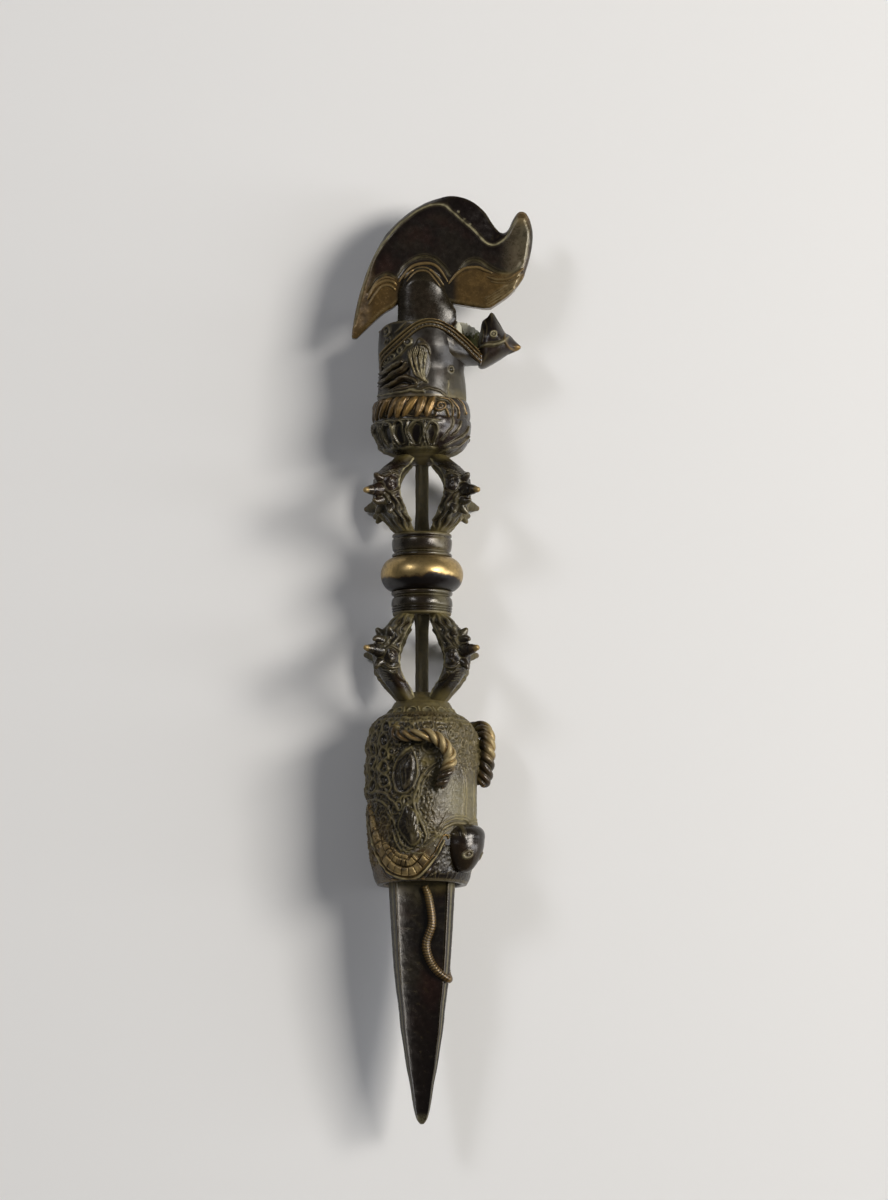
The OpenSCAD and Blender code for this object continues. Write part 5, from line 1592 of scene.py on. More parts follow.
def make_hair(sizes):
    """The ring of slanted hair locks round the foot of the upper head."""
    low, high = Z_HAIR, Z_CROWN
    tall = high - low
    turn = np.linspace(-180, 180, 641)[:, None]
    v = np.linspace(-pi, pi, 97)[None]
    outer, rise = np.cos(v), np.sign(np.sin(v)) * np.abs(np.sin(v)) ** 0.85
    level = (1 + rise) / 2
    full = np.where(v < 0, 0.4, 0.7)
    out = 12.7 + 2.6 * np.sign(outer) * np.abs(outer) ** full + 0.9 * (0.45 - level)
    turn, height, level, out, front = np.broadcast_arrays(turn, low + tall * level, level, out, outer)
    outside = ease(0.0, 0.35, front)
    folded = fold(turn, UPPER_TURN)
    round_ = HAIR_R * np.radians(folded)
    locks_zone = ease(19, 14, folded)
    phase = folded * sizes.locks / 360 - 0.95 * level + 0.1
    which = np.floor(phase)
    wander = 0.14 * np.sin(which * 2.3 + 3 * level) + 0.1 * np.sin(which * 5.1)
    across = 2 * np.abs((phase + wander) % 1 - 0.5)
    # A lock is broad and round at its top, and thins out to a point below
    edge = 0.97 - 0.45 * ease(0.5, 0.0, level)
    lock = np.sqrt(np.clip(1 - (across / edge) ** 2, 0, 1))
    lock *= ease(1.05, 0.86, level + 0.1 * across) * 0.6 + 0.4
    swell = locks_zone * (1.3 * lock - 0.6 + 0.12 * np.sin(which * 3.7))
    swell = swell - 0.12 * locks_zone * (np.abs(across - 0.35) < 0.1) * lock
    carve = Carving(round_, height, sizes.carving / MM)
    x, y = seen([(5.6, 229.4)], HAIR_R)[0]
    carve.curl(x, y, 2.0, 1.7, 200, 1.0, 1.0, gold=0.25)
    for line in (
        ((3.0, 232.0), (6.2, 232.3), (8.6, 231.0), (9.6, 228.4), (9.9, 225.4)),
        ((7.4, 233.0), (9.8, 230.9), (11.2, 227.6), (11.6, 224.6)),
        ((7.0, 228.0), (8.0, 226.4), (8.6, 224.9)),
        ((11.0, 232.6), (12.6, 230.0), (13.5, 226.6)),
    ):
        carve.stroke(seen(line, HAIR_R), 1.0, 0.75, thin=0.4, chalk=0.1)
    swell = swell + carve.total() * (1 - 0.7 * locks_zone) + 0.1 * ripple(round_, height, 2.5, 51)
    ring = place(turn, out + swell * outside, height)
    # The locks at the front left are rubbed golden, and the others are dark; the gaps between locks are
    # painted dark as shade
    gold = 0.75 * outside * locks_zone * lock**2 * ease(0.02, 0.3, level)
    gold = gold * ease(-75, -30, folded) * (0.7 + 0.3 * np.sin(which * 2.1))
    hair = skin("hair_bronze", ring, gold=gold, deep=0.8 * locks_zone * ease(0.45, 0.1, lock),
        chalk=carve.paint["chalk"])
    finish_piece(hair, RUBBED, "hair_ring", rounds=10)


CROWN_R = 14.0
# Height of the upper mouth's edge over the turn round the head
RIM = [(-180, 256.3), (-150, 256), (-120, 255), (-98, 252.6), (-80, 252.4), (-62, 253.8), (-45, 254.6),
    (-15, 254.7), (10, 255.3), (30, 254.4), (48, 252.2), (62, 249.6), (78, 247.0), (92, 246.4),
    (104, 251.0), (114, 256.4), (150, 256.8), (180, 256.3)]
# Upper line of the lips on the near side: right of the axis, and height
LIP_LINE = [(-13.6, 243.6), (-12.2, 245.5), (-10.2, 247.3), (-7.9, 249.3), (-5.2, 251.6), (-2.4, 253.7),
    (0.2, 254.8), (2.6, 255.1), (5.0, 254.8), (7.0, 254.1), (9.6, 252.7), (12.0, 250.9), (14.6, 248.8),
    (17.4, 246.3), (19.0, 245.0)]
# Where the neck's near and far sides are in front of the axis over the distance to the right
GUTTER = [(5.0, 12.4), (7.0, 12.15), (8.5, 11.75), (10.0, 11.0), (12.0, 9.6), (14.0, 8.1), (16.0, 6.6),
    (18.0, 5.2), (20.0, 4.4)]


def near_side(right):
    """How far the near wall stands in front of the axis at a distance to the right."""
    right = np.asarray(right, float)
    wall = np.sqrt(np.clip(CROWN_R**2 - right**2, 0, None))
    return np.maximum(wall, read_line(GUTTER, right))


def carve_upper_head(carve):
    """Teeth, jaw strands and beard behind the corner of the upper mouth."""
    def at(*points):
        return seen(points, CROWN_R)

    pale = {"chalk": 0.3}
    # Scrolls that stand over the lips at the left
    for (x, y), r, start, way in (((-11.2, 253.4), 1.9, 250, 1), ((-10.6, 249.6), 1.7, 60, -1)):
        carve.leaf(*at((x, y))[0], 3.6, 4.4, 0, 0.4, power=0.4)
        carve.curl(*at((x, y))[0], r, 1.35, start, 0.95, 0.8, way=way, chalk=0.15)
    for line in (((-8.6, 250.6), (-6.2, 253.0), (-3.8, 255.2)),
            ((-8.8, 252.4), (-7.0, 254.2), (-5.0, 256.0))):
        carve.stroke(at(*line), 0.8, 0.6, dust=0.6)
    # Row of small ring teeth under the lips, between two pale lines
    for x, y, r in ((-12.4, 242.6, 0.8), (-11.2, 243.9, 0.85), (-9.4, 245.0, 0.9), (-7.2, 246.9, 0.95),
            (-4.6, 249.8, 1.0)):
        carve.ring(*at((x, y))[0], r, 0.7, 0.65, **pale)
    for line in (((-13.2, 241.2), (-10.8, 242.9), (-8.0, 244.6), (-5.6, 247.2), (-3.4, 250.4)),
            ((-13.4, 240.2), (-10.4, 241.6), (-7.2, 243.6))):
        carve.stroke(at(*line), 0.6, 0.5, **pale)
    # Thick strands of the jaw, swept back to the left, with deep gaps painted dark as shade; the lowest one
    # hooks back
    for line, width, height in (
        (((-13.4, 239.2), (-11.2, 240.7), (-8.8, 242.2), (-6.4, 243.2)), 1.9, 1.0),
        (((-13.4, 236.6), (-11.2, 238.0), (-8.8, 239.9), (-6.4, 241.5), (-5.2, 242.8)), 1.8, 1.1),
        (((-13.2, 234.2), (-10.6, 235.8), (-8.0, 237.6), (-5.6, 238.6), (-3.2, 238.1), (-1.8, 236.4),
            (-2.6, 235.0), (-5.6, 234.5), (-9.0, 233.8)), 1.3, 1.1),
    ):
        carve.stroke(at(*line), width, height, thin=0.45)
    for line, width in (
        (((-13.3, 237.9), (-11.0, 239.3), (-8.4, 240.9), (-6.6, 242.2)), 1.3),
        (((-13.3, 235.4), (-10.4, 237.0), (-7.6, 238.9), (-5.6, 240.0), (-4.4, 241.2)), 1.3),
        (((-10.6, 234.9), (-8.0, 236.2), (-5.4, 237.0), (-3.8, 236.2)), 1.5),
    ):
        carve.stroke(at(*line), width, -1.5, thin=0.3, deep=1.0)
    carve.stroke(at((-13.8, 232.2), (-10.0, 232.8), (-6.0, 233.2), (-2.6, 234.0), (0.6, 233.4)), 0.95,
        0.7, thin=0.2, **pale)
    # Beard: fine hairs that rise, spread and hook over to the right
    carve.leaf(*at((-1.0, 243.0))[0], 7.0, 15, 4, 0.5, power=0.6, deep=0.35)
    for k in range(11):
        # They spring from one root at the lower right and end in a ragged fan
        t = k / 10
        wave = 0.5 * sin(k * 2.1)
        hair = ((1.9 - 1.6 * t, 236.4 + 0.8 * t), (0.6 - 2.6 * t, 239.4 + 0.6 * wave),
            (0.8 - 4.6 * t + 0.4 * wave, 243.0 + wave), (1.6 - 5.6 * t, 246.6 + 1.4 * sin(3 * t)))
        carve.stroke(at(*hair), 0.5, 0.7 + 0.25 * wave, thin=0.6, chalk=0.4, gold=0.3 * t)
    carve.stroke(at((-1.6, 248.6), (0.4, 248.6), (2.2, 247.4), (2.9, 245.6)), 0.8, 0.7, chalk=0.1)
    # Small sunk ring on the smooth body, its hole painted dark as shade, and the pale line down to the hair
    ring_x, ring_y = at((9.7, 240.9))[0]
    carve.ring(ring_x, ring_y, 1.15, 0.6, 0.3, chalk=0.2)
    carve.ring(ring_x, ring_y, 0, 1.7, -0.5, deep=1.0)
    carve.stroke(at((8.4, 237.2), (8.2, 234.4), (8.8, 231.8)), 0.7, 0.35, chalk=0.35)
    carve.stroke(at((-0.6, 233.8), (3.0, 234.6), (6.2, 233.6), (8.6, 231.6)), 0.8, 0.4)


def make_upper_head(sizes):
    """The sea monster's head with its mouth open to the chopper, green inside."""
    columns, rows, deep_rows = 440, 100, 40
    turn = np.linspace(-180, 180, columns + 1)[None]
    rim = read_line(curve(RIM, 6), turn)
    low = Z_CROWN - 0.6
    v = np.linspace(0, 1, rows)[:, None]
    height = low + (rim - low) * v
    out = np.interp(height, [230, 233, 240, 247, 257], [14.1, 14.1, 13.6, 14.0, 13.5])
    all_turn, height, out = np.broadcast_arrays(turn, height, out)
    round_ = CROWN_R * np.radians(fold(all_turn, UPPER_TURN))
    carve = Carving(round_, height, sizes.carving / MM)
    carve_upper_head(carve)
    fade = ease(0, 0.03, v) * ease(1, 0.985, v)
    swell = (carve.total() + 0.11 * ripple(round_, height, 4, 61)) * fade
    # It swells out above, where the neck springs from it, and draws in below; there it is hazy
    neck_x, neck_y = seen([(4.6, 249.4)], CROWN_R)[0]
    swelling = np.exp(-((round_ - neck_x) / 5.5) ** 2 - ((height - neck_y) / 4.2) ** 2)
    waist = ease(-3, 3, round_) * bell(height - 240.5, 3.4)
    swell = swell + (0.65 * swelling - 0.25 * waist) * fade
    haze = 0.07 * ease(6, 10, round_) * ease(241, 237, height)
    lip = [place(turn, 13.3 - d, rim + h) for d, h in ((0.35, 0.28), (0.95, 0.32), (1.5, 0.1))]
    w = np.linspace(0, 1, deep_rows)[:, None]
    inner_height = rim - 0.3 - (rim - 0.3 - Z_MOUTH - 0.4) * w
    uneven = 0.2 * ripple(CROWN_R * np.radians(turn), inner_height, 1.8, 63)
    floor = [place(turn, r, Z_MOUTH + 0.1) for r in (9, 0)]
    base = [place(turn, r, low) for r in (0, 10)]
    outside = place(all_turn, out + swell, height)
    inside = place(turn, 11.5 - 0.9 * w**3 + uneven, inner_height)
    points = np.concatenate(base + [outside] + lip + [inside] + floor)
    lead, tail = len(base), len(lip) + deep_rows + len(floor)
    # Dust lies by the scrolls and under the neck
    dust = np.maximum(0.05, 0.5 * ease(4, 0, height - Z_CROWN) * ease(5, 9, round_))
    shade = 0.9 * ease(0, 4, round_) * ease(238, 243, height)
    paints = carve.paints(dust=dust, chalk=haze, deep=shade)
    fields = {key: np.pad(value, ((lead, tail), (0, 0))) for key, value in paints.items()}
    # Green inside, and crusted on the far edge at the right
    green = np.concatenate([[0] * (lead + rows), [0.5] * len(lip), [1] * (deep_rows + len(floor))])
    edge = np.concatenate([[0] * (lead + rows), [1] * len(lip), ease(0.2, 0, w[:, 0]), [0, 0]])
    far = ease(88, 108, np.abs(turn)) * ease(60, 96, turn)
    head = skin("upper_head_bronze", points, green=green[:, None], crust=edge[:, None] * far, **fields)
    finish_piece(head, MOUTH, "upper_head", rounds=12)


# Width of the band round the upper mouth, and how far apart the notches in its ground are
BAND_W, NOTCH_PITCH = 3.0, 1.2


def lip_strip(name, right, front, height, slope, proud):
    """A band of three lines along the mouth's edge, closed all round, as places by the axis."""
    wide = BAND_W * np.sqrt(1 + slope**2)
    v = np.linspace(0, 1, 40)[:, None]
    ridges = sum(tall * ridge(v - middle, half)
        for middle, half, tall in ((0.1, 0.11, 1.0), (0.42, 0.13, 0.8), (0.8, 0.12, 0.6)))
    # Fine notches across the ground between the lines
    run = np.concatenate([[0], np.cumsum(np.hypot(np.diff(right), np.diff(height)))])
    notch = 0.2 * (np.cos(run * 2 * pi / NOTCH_PITCH) > 0.3) * ridge(v - 0.61, 0.08)
    notch = notch * ease(3, 5, front)[None]
    edge = np.clip(np.minimum(v / 0.04, (1 - v) / 0.05), 0, 1)
    ends = ease(0, 2.2, np.minimum(run, run[-1] - run))[None]
    lift = (0.3 + ridges + notch) * edge * ends - 0.15
    z = height[None] + 0.35 - wide[None] * v
    outer, back = (np.stack([right[None] + proud[0][None] * out, z + 0 * out,
        front[None] + proud[1][None] * out], -1) for out in (lift, np.full_like(lift, -0.55)))
    loop = np.concatenate([outer, back[::-1], outer[:1]])
    cover = np.concatenate([np.ones(len(v)), np.zeros(len(v)), [0]])[:, None]
    # Gold and pale paint lie on the three lines, and the grooves between them are painted dark as shade
    paints = {"chalk": 0.25 * ridges * ease(8, -4, right)[None], "gold": 0.4 * ridges + 0 * right[None],
        "deep": np.clip(0.9 - 1.5 * ridges, 0, 1) + 0 * right[None]}
    fields = {key: np.concatenate([value, value, value[:1]]) * cover for key, value in paints.items()}
    strip = skin(name, laid(loop), **fields)
    close_ends(strip)
    return strip


def make_upper_lips(sizes):
    """Lips of the upper mouth: a band of three lines over the front, and one over the back."""
    turn = np.radians(np.linspace(-84, 29.5, 220))
    straight = np.linspace(7.0, 19.2, 100)
    right = np.concatenate([CROWN_R * np.sin(turn), straight])
    front = np.concatenate([CROWN_R * np.cos(turn), near_side(straight)])
    order = np.argsort(right)
    right, front = right[order], front[order]
    height = read_line(curve(LIP_LINE, 16), right)
    along = unit(np.stack([np.gradient(right), np.gradient(front)], -1))
    near = lip_strip("lip near", right, front, height, np.gradient(height, right),
        (-along[:, 1], along[:, 0]))
    # On the far side the lips follow the higher edge
    turn = np.radians(np.linspace(-100, -246, 240))
    height = read_line(curve(RIM, 6), (np.degrees(turn) + 180) % 360 - 180) - 0.5
    far = lip_strip("lip far", CROWN_R * np.sin(turn), CROWN_R * np.cos(turn), height, 0 * turn,
        (np.sin(turn), np.cos(turn)))
    lips = joined([near, far], "upper_lips_bronze")
    finish_piece(lips, CARVED, "upper_lips", rounds=8)


# Side view of the crested and beaked head: right of the axis and height, in mm
BEAK_SIDE = [(17.9, 241.7), (19.6, 241.2), (24.0, 243.6), (27.2, 245.6), (31.5, 247.7), (30.0, 249.6),
    (28.0, 251.7), (26.4, 252.7), (24.6, 255.8), (22.3, 259.2), (20.8, 257.6), (19.2, 256.2),
    (18.5, 253.0), (17.7, 248.0)]


def make_upper_snout(sizes):
    """The neck, an open gutter, and the beaked head with a pale eye ring at its end."""
    # Section of the gutter, from its near edge round the bottom to its far edge
    stations = np.linspace(5.0, 19.4, 56)
    side = read_line(GUTTER, stations) - 0.1
    near_top = read_line(LIP_LINE, stations) - 0.1
    far_top = read_line([(5.0, 257.0), (7.6, 257.6), (9.2, 258.6), (10.4, 257.4), (14.4, 256.4),
        (19.4, 252.8)], stations)
    bottom = read_line([(5.0, 243.4), (9.2, 242.2), (12, 242.1), (18, 242.3), (19.4, 242.0)], stations)
    # Its far wall starts inside the crown too
    far_side = np.minimum(side, read_line([(5.0, 9.6), (9.2, 9.4), (12, 7.3), (20, 4.2)], stations))
    side_points = 60
    t = np.linspace(0, 1, side_points)
    wall = 1.35
    rows = []
    for x, s, back, near, far, low in zip(stations, side, far_side, near_top, far_top, bottom):
        # Shares round the section: down the near wall, under the floor and up the far wall
        keys = [(0, s - 1.1, near), (0.18, s, (near + low) / 2 + 0.6), (0.34, s * 0.82, low + 1.3),
            (0.5, 0, low), (0.64, -back * 0.72, low + 0.9), (0.8, -back, low + 5.0),
            (1, -back * 0.96, far)]
        outer = curve([(a, b) for _, a, b in keys], 12)
        shares = np.linspace(0, 1, len(outer))
        outer = np.stack([np.interp(t, shares, outer[:, k]) for k in (0, 1)], -1)
        way = unit(np.gradient(outer, axis=0))
        inward = np.stack([way[:, 1], -way[:, 0]], -1)
        inner = outer - inward * (wall * (1 - 0.35 * ease(0.7, 1.0, t)))[:, None]
        if inner[side_points // 2, 1] < outer[side_points // 2, 1]:
            inner = outer + inward * wall
        loop = np.concatenate([outer, inner[::-1], outer[:1]])
        rows.append(np.stack([np.full(len(loop), x), loop[:, 1], loop[:, 0]], -1))
    rows = np.array(rows)
    x, z = rows[..., 0], rows[..., 1]
    inner_here = np.concatenate([0 * t, 1 + 0 * t, [0]])[None] * np.ones_like(x)
    rows[..., 2] += 0.1 * ripple(x, z, 2, 71)
    rough_edge = 0.7 * ripple(x * 3, z, 2.2, 72)
    off = np.arange(2 * side_points + 1) - side_points
    rows[..., 1] += rough_edge * bell(off, 3.0)[None]
    crust = 1.1 * bell(off - 1, 3.2)[None] * ease(21, 14, x)
    # The outside of the neck is painted dark as shade, and its inside green with a crust along the edge
    neck = skin("neck gutter", laid(rows), green=inner_here, crust=crust, deep=0.85 * (1 - inner_here))
    close_ends(neck)
    # Beaked head: the side view is filled and drawn out to both sides, thinner to its crest
    outline = curve(BEAK_SIDE + BEAK_SIDE[:1], 5)[:-1]
    head = plate_from("beak", outline, 8.8, 0.26)
    right, height, front = by_frame(head)
    carve = Carving(right, height, askew=0.3)
    away, _ = carve.reach(np.vstack([outline, outline[:1]]))
    full = 4.6 * ease(33.0, 24.0, right) + 1.1
    full *= 1 - 0.62 * ease(250.5, 259.0, height)
    bulge = np.sqrt(np.clip(1 - (1 - np.clip(away / 3.6, 0, 1)) ** 2, 0, 1))
    half = 0.45 + (full - 0.45) * bulge
    side_share = np.clip(front / 4.4, -1, 1)
    face = ease(0.5, 1.0, np.abs(side_share))
    for radius, width, tall in ((0.0, 0.8, 0.4), (0.95, 0.55, 0.5)):
        carve.ring(22.7, 251.7, radius, width, tall, chalk=0.75)
    carve.stroke([(17.9, 247.2), (20.4, 248.0), (23.4, 248.3), (26.0, 249.2), (27.6, 251.2)], 1.1, 0.7,
        chalk=0.5)
    carve.stroke([(18.6, 254.6), (19.6, 252.0), (19.2, 249.2)], 0.6, 0.45, dust=0.2)
    carve.stroke([(19.9, 256.4), (20.6, 253.6), (20.2, 250.4)], 0.5, 0.3)
    carve.stroke([(26.6, 252.4), (26.4, 250.2), (27.4, 247.8), (29.4, 246.6)], 0.8, 0.6, gold=0.35)
    carve.stroke([(28.4, 248.5), (30.6, 248.0)], 0.4, -0.3, steps=1)
    front = side_share * half + np.sign(side_share) * carve.total() * face
    move_points(head, place_flat(right, height, front))
    smooth_points(head, 1)
    beak_tip = ease(28.6, 31.0, right) * ease(249.2, 247.6, height)
    shadow = 0.55 * ease(247.6, 250, height) + 0.5 * ease(246, 243, height)
    set_fields(head, **carve.paints(gold=0.9 * beak_tip, deep=shadow))
    snout = joined([neck, head], "upper_snout_bronze")
    bpy.ops.object.shade_smooth()
    finish_piece(snout, MOUTH, "upper_snout", rounds=8)


def plate_from(name, outline, thick, voxel):
    """A plate with a closed outline (right and height, in mm), square to the front."""
    deselect()
    bpy.ops.mesh.primitive_circle_add(vertices=len(outline), radius=0.01, fill_type="NGON",
        location=(0, 0, 0))
    piece = named(name)
    move_points(piece, laid([(p[0], p[1], -thick / 2) for p in outline]))
    open_mesh(piece)
    bpy.ops.mesh.extrude_region_move(TRANSFORM_OT_translate={"value": (0, 0, thick * MM)})
    turn_outwards()
    drop_uv_maps(piece)
    return solid_of([piece], name, voxel, rounds=2)


STEM_W, STEM_T = 16.8, 11.0
ARCH, SHOULDER = 13.0, 7.5


def stem_top(right):
    """Height of the stem's arched top at a distance to the right."""
    return Z_CRESCENT + ARCH - (ARCH - SHOULDER) * (np.asarray(right) / (STEM_W / 2)) ** 2


def make_stem(sizes):
    """The flattened post in the upper mouth; its two tongues hold the crescent's foot."""
    low = Z_MOUTH
    columns, rows = 160, 110
    a = np.linspace(-pi, pi, columns + 1)[None]
    v = np.linspace(0, 1, rows)[:, None]
    right = STEM_W / 2 * np.sign(np.sin(a)) * np.abs(np.sin(a)) ** 0.8
    front = STEM_T / 2 * np.sign(np.cos(a)) * np.abs(np.cos(a)) ** 0.8
    height = low + (stem_top(right) - low) * v
    # It spreads a little to the right where it meets the crescent, and its tongues thin out
    right = right + 3.2 * ease(0.0, 8.0, right) * ease(250, 257.5, height) * (
        1 - ease(258.5, 266, height))
    to_top = stem_top(right) - height
    front = front * (1 - 0.34 * (1 - ease(0, 4.5, to_top)))
    right, height, front = np.broadcast_arrays(right, height, front)
    front = front + 0.1 * np.sign(front) * ripple(right, height, 5, 81)
    body = np.stack([right, height, front], -1)
    top = body[-1:].copy()
    top[..., 2] = 0
    foot = body[:1].copy()
    foot[..., 0] = 0
    foot[..., 2] = 0
    points = np.concatenate([foot, body, top])
    shade = np.zeros(points.shape[:2])
    dust = shade.copy()
    dust[1:-1] = 0.08 + 0.7 * ease(-5.0, -8.2, right) * ease(258, 250, height)
    dust[1:-1] = np.maximum(dust[1:-1], 0.5 * ease(248.5, 246.5, height))
    stem = skin("stem_bronze", laid(points), dust=dust, deep=0.5 + 0 * dust)
    # The fork is cut out for the crescent's foot
    deselect()
    bpy.ops.mesh.primitive_cube_add(size=1, location=(0, 0, 0))
    cutter = bpy.context.object
    slot_low = Z_CRESCENT - 4.05
    corners = points_of(cutter) * 2
    move_points(cutter, place_flat(corners[:, 0] * 20, slot_low + (corners[:, 1] + 1) * 20,
        corners[:, 2] * 2.85))
    cut = stem.modifiers.new("fork", "BOOLEAN")
    cut.operation = "DIFFERENCE"
    cut.object = cutter
    cut.solver = "EXACT"
    choose(stem)
    bpy.ops.object.modifier_apply(modifier=cut.name)
    bpy.data.objects.remove(cutter)
    bpy.ops.object.shade_smooth_by_angle(angle=radians(50))
    finish_piece(stem, DARK, "chopper_stem", rounds=6)


# Outline of the crescent, as shares of its reach to either side and of its height
CRESCENT_LEFT, CRESCENT_RIGHT = 22.4, 35.3
OUTER_EDGE = [(-1, -0.26), (-0.985, -0.16), (-0.94, 0), (-0.87, 0.17), (-0.74, 0.4), (-0.545, 0.63),
    (-0.31, 0.79), (-0.01, 0.92), (0.175, 0.985), (0.29, 1), (0.435, 0.96), (0.56, 0.865), (0.645, 0.74),
    (0.705, 0.675)]
HOOK_EDGE = [(0.74, 0.67), (0.78, 0.705), (0.82, 0.79), (0.87, 0.855), (0.935, 0.85), (0.98, 0.765),
    (1, 0.645), (0.98, 0.49), (0.935, 0.335), (0.9, 0.25), (0.785, 0.118), (0.62, 0.005)]
RIGHT_UNDER = [(0.56, 0), (0.425, 0.02), (0.31, 0.04)]
LEFT_UNDER = [(-0.41, 0.01), (-0.545, -0.04), (-0.7, -0.125), (-0.835, -0.206), (-0.93, -0.264)]
BEVEL_LINE = [(-0.96, -0.14), (-0.88, 0.08), (-0.8, 0.27), (-0.68, 0.46), (-0.5, 0.62), (-0.27, 0.77),
    (0.02, 0.895), (0.14, 0.92), (0.22, 0.9), (0.29, 0.84), (0.436, 0.72), (0.548, 0.61), (0.607, 0.565),
    (0.67, 0.565), (0.747, 0.61), (0.8, 0.7), (0.86, 0.8)]
BEVEL_RIGHT = [(0.93, 0.79), (0.965, 0.645), (0.945, 0.49), (0.9, 0.335)]
CRESCENT_T, CRESCENT_EDGE_T = 5.6, 2.0


def on_crescent(points):
    """Shares of the crescent's reach and height as places: right of the axis and height, in mm."""
    return [(x * (CRESCENT_LEFT if x < 0 else CRESCENT_RIGHT), Z_CRESCENT + y * CRESCENT_H)
        for x, y in points]


def make_crescent(sizes):
    """The crescent blade: a plate that thins to its edge outside an engraved line."""
    foot_w, foot_deep = 14.4, 4.0
    foot = [(foot_w / 2, Z_CRESCENT + 2.2), (foot_w / 2, Z_CRESCENT - foot_deep),
        (-foot_w / 2, Z_CRESCENT - foot_deep), (-foot_w / 2, Z_CRESCENT + 2.2)]
    outer, hook = curve(on_crescent(OUTER_EDGE), 5), curve(on_crescent(HOOK_EDGE), 5)
    under = on_crescent(RIGHT_UNDER) + foot + list(curve(on_crescent(LEFT_UNDER), 4))
    outline = np.concatenate([outer, hook, np.array(under)])
    plate = plate_from("crescent_bronze", outline, CRESCENT_T, 0.33)
    right, height, front = by_frame(plate)
    carve = Carving(right, height, askew=0.35)
    to_edge, _ = carve.reach(np.concatenate([outer, hook]))
    to_under, _ = carve.reach(np.array(under))
    line = curve(on_crescent(BEVEL_LINE), 6)
    side_line = curve(on_crescent(BEVEL_RIGHT), 6)
    whole_line = np.concatenate([line, side_line])
    to_line, _ = carve.reach(whole_line)
    # Closed far below, so that only the bevel is outside it
    closed = np.concatenate([whole_line, [(27.36, Z_CRESCENT), (0, Z_CRESCENT - 30),
        (-40, Z_CRESCENT - 30)]])
    inside = inside_of(closed, right, height)
    slope = to_edge / np.maximum(to_edge + to_line, 1e-3)
    bevel = np.where(inside, 1.0, slope**0.8)
    thick = CRESCENT_EDGE_T + (CRESCENT_T - CRESCENT_EDGE_T) * bevel
    # The face swells a little to its middle, and its lower edges are rounded off
    thick = thick + 0.35 * np.where(inside, ease(0, 7, to_line) * ease(0, 6, to_under), 0)
    rounded = np.clip(to_under / 1.3, 0, 1)
    thick = thick * (0.62 + 0.38 * np.sqrt(1 - (1 - rounded) ** 2))
    thick = thick * (0.5 + 0.5 * ease(-CRESCENT_LEFT, -15, right))
    share = np.clip(front / (CRESCENT_T / 2), -1, 1)
    face = ease(0.6, 0.95, np.abs(share))
    # Engraved line, thin and filled with pale dust, with a few knots where the graver slipped
    carve.stroke(line[::2], 0.75, -0.3, thin=0.1, steps=1, chalk=0.7)
    carve.stroke(side_line[::2], 0.5, -0.25, thin=0.4, steps=1, chalk=0.4)
    for x, y in ((11.7, 291.2), (13.6, 288.9), (15.3, 287.3)):
        carve.ring(x, y, 0.0, 1.1, -0.2, chalk=0.4)
    # Fine lines along the lower right edge
    for k in range(4):
        lift = 0.75 * k
        lines = [(20.6 - lift * 0.2, 260.9 + lift), (25.4 - lift * 0.4, 263.6 + lift),
            (29.6 - lift * 0.6, 266.6 + lift), (32.2 - lift * 0.7, 270.6 + lift)]
        carve.stroke(lines, 0.5, 0.28, thin=0.3, chalk=0.25)
    # Sunk grooves that echo the clouds, over the left, middle and right arcs, painted dark inside as shade,
    # with some dust
    for arc in (
        ((-8.0, 270.0), (-5.0, 274.2), (-1.2, 276.6), (3.0, 276.6), (6.4, 274.0), (8.8, 270.6)),
        ((12.0, 272.4), (14.6, 275.2), (18.0, 275.6), (21.6, 273.2), (25.6, 271.4), (29.4, 272.0),
            (32.0, 275.2)),
        ((-17.0, 265.4), (-14.4, 269.6), (-11.0, 271.2), (-8.4, 270.0)),
    ):
        carve.stroke(arc, 1.1, -0.35, thin=0.4, dust=0.45, deep=0.6)
    pits = np.clip(ripple(right * 3, height * 3, 2.4, 91) - 0.28, 0, 1) * ease(286, 289, height)
    pits = pits * ease(29, 31, right)
    uneven = 0.07 * ripple(right, height, 6, 92)
    front = share * thick / 2 + np.sign(share) * face * (carve.total() + uneven - 0.9 * pits)
    move_points(plate, place_flat(right, height, front))
    smooth_points(plate, 1)
    # Golden panels under the clouds, deep red patina along the bevel, and a worn hook
    scallop = 0.9 * (np.abs(right + 11.6) - 1) * (right < -11)
    left_panel = ease(-6.4, -9.5, right) * ease(2.2, 0.6, height - 268.6 + scallop)
    right_panel = ease(9.5, 12.5, right) * ease(272.2, 270.6, height - 1.6 * bell(right - 17.0, 3.4))
    tip = ease(-14, -19, right)
    hook_wear = ease(285, 291, height) * ease(29, 31, right)
    mellow = 0.75 + 0.25 * ripple(right, height, 5, 95)
    panels = np.maximum(left_panel, right_panel)
    gold = np.maximum(0.38 * panels, 0.4 * tip) * mellow
    bevel_zone = np.where(inside, ease(4.5, 0.5, to_line), 1.0)
    deep = 0.9 * bevel_zone * ease(30, 25, right) * ease(262, 272, height)
    deep = np.maximum(deep, 0.85 * panels)
    # Its right side is painted with a silvery highlight
    painted_highlight = 0.16 * ease(24, 31, right) * inside
    ground = {"gold": np.maximum(gold, 0.3 * hook_wear), "deep": deep, "chalk": painted_highlight}
    set_fields(plate, **{key: np.maximum(value * face, ground.get(key, 0))
        for key, value in carve.paints().items()})
    finish_piece(plate, DARK, "chopper_crescent", rounds=10)


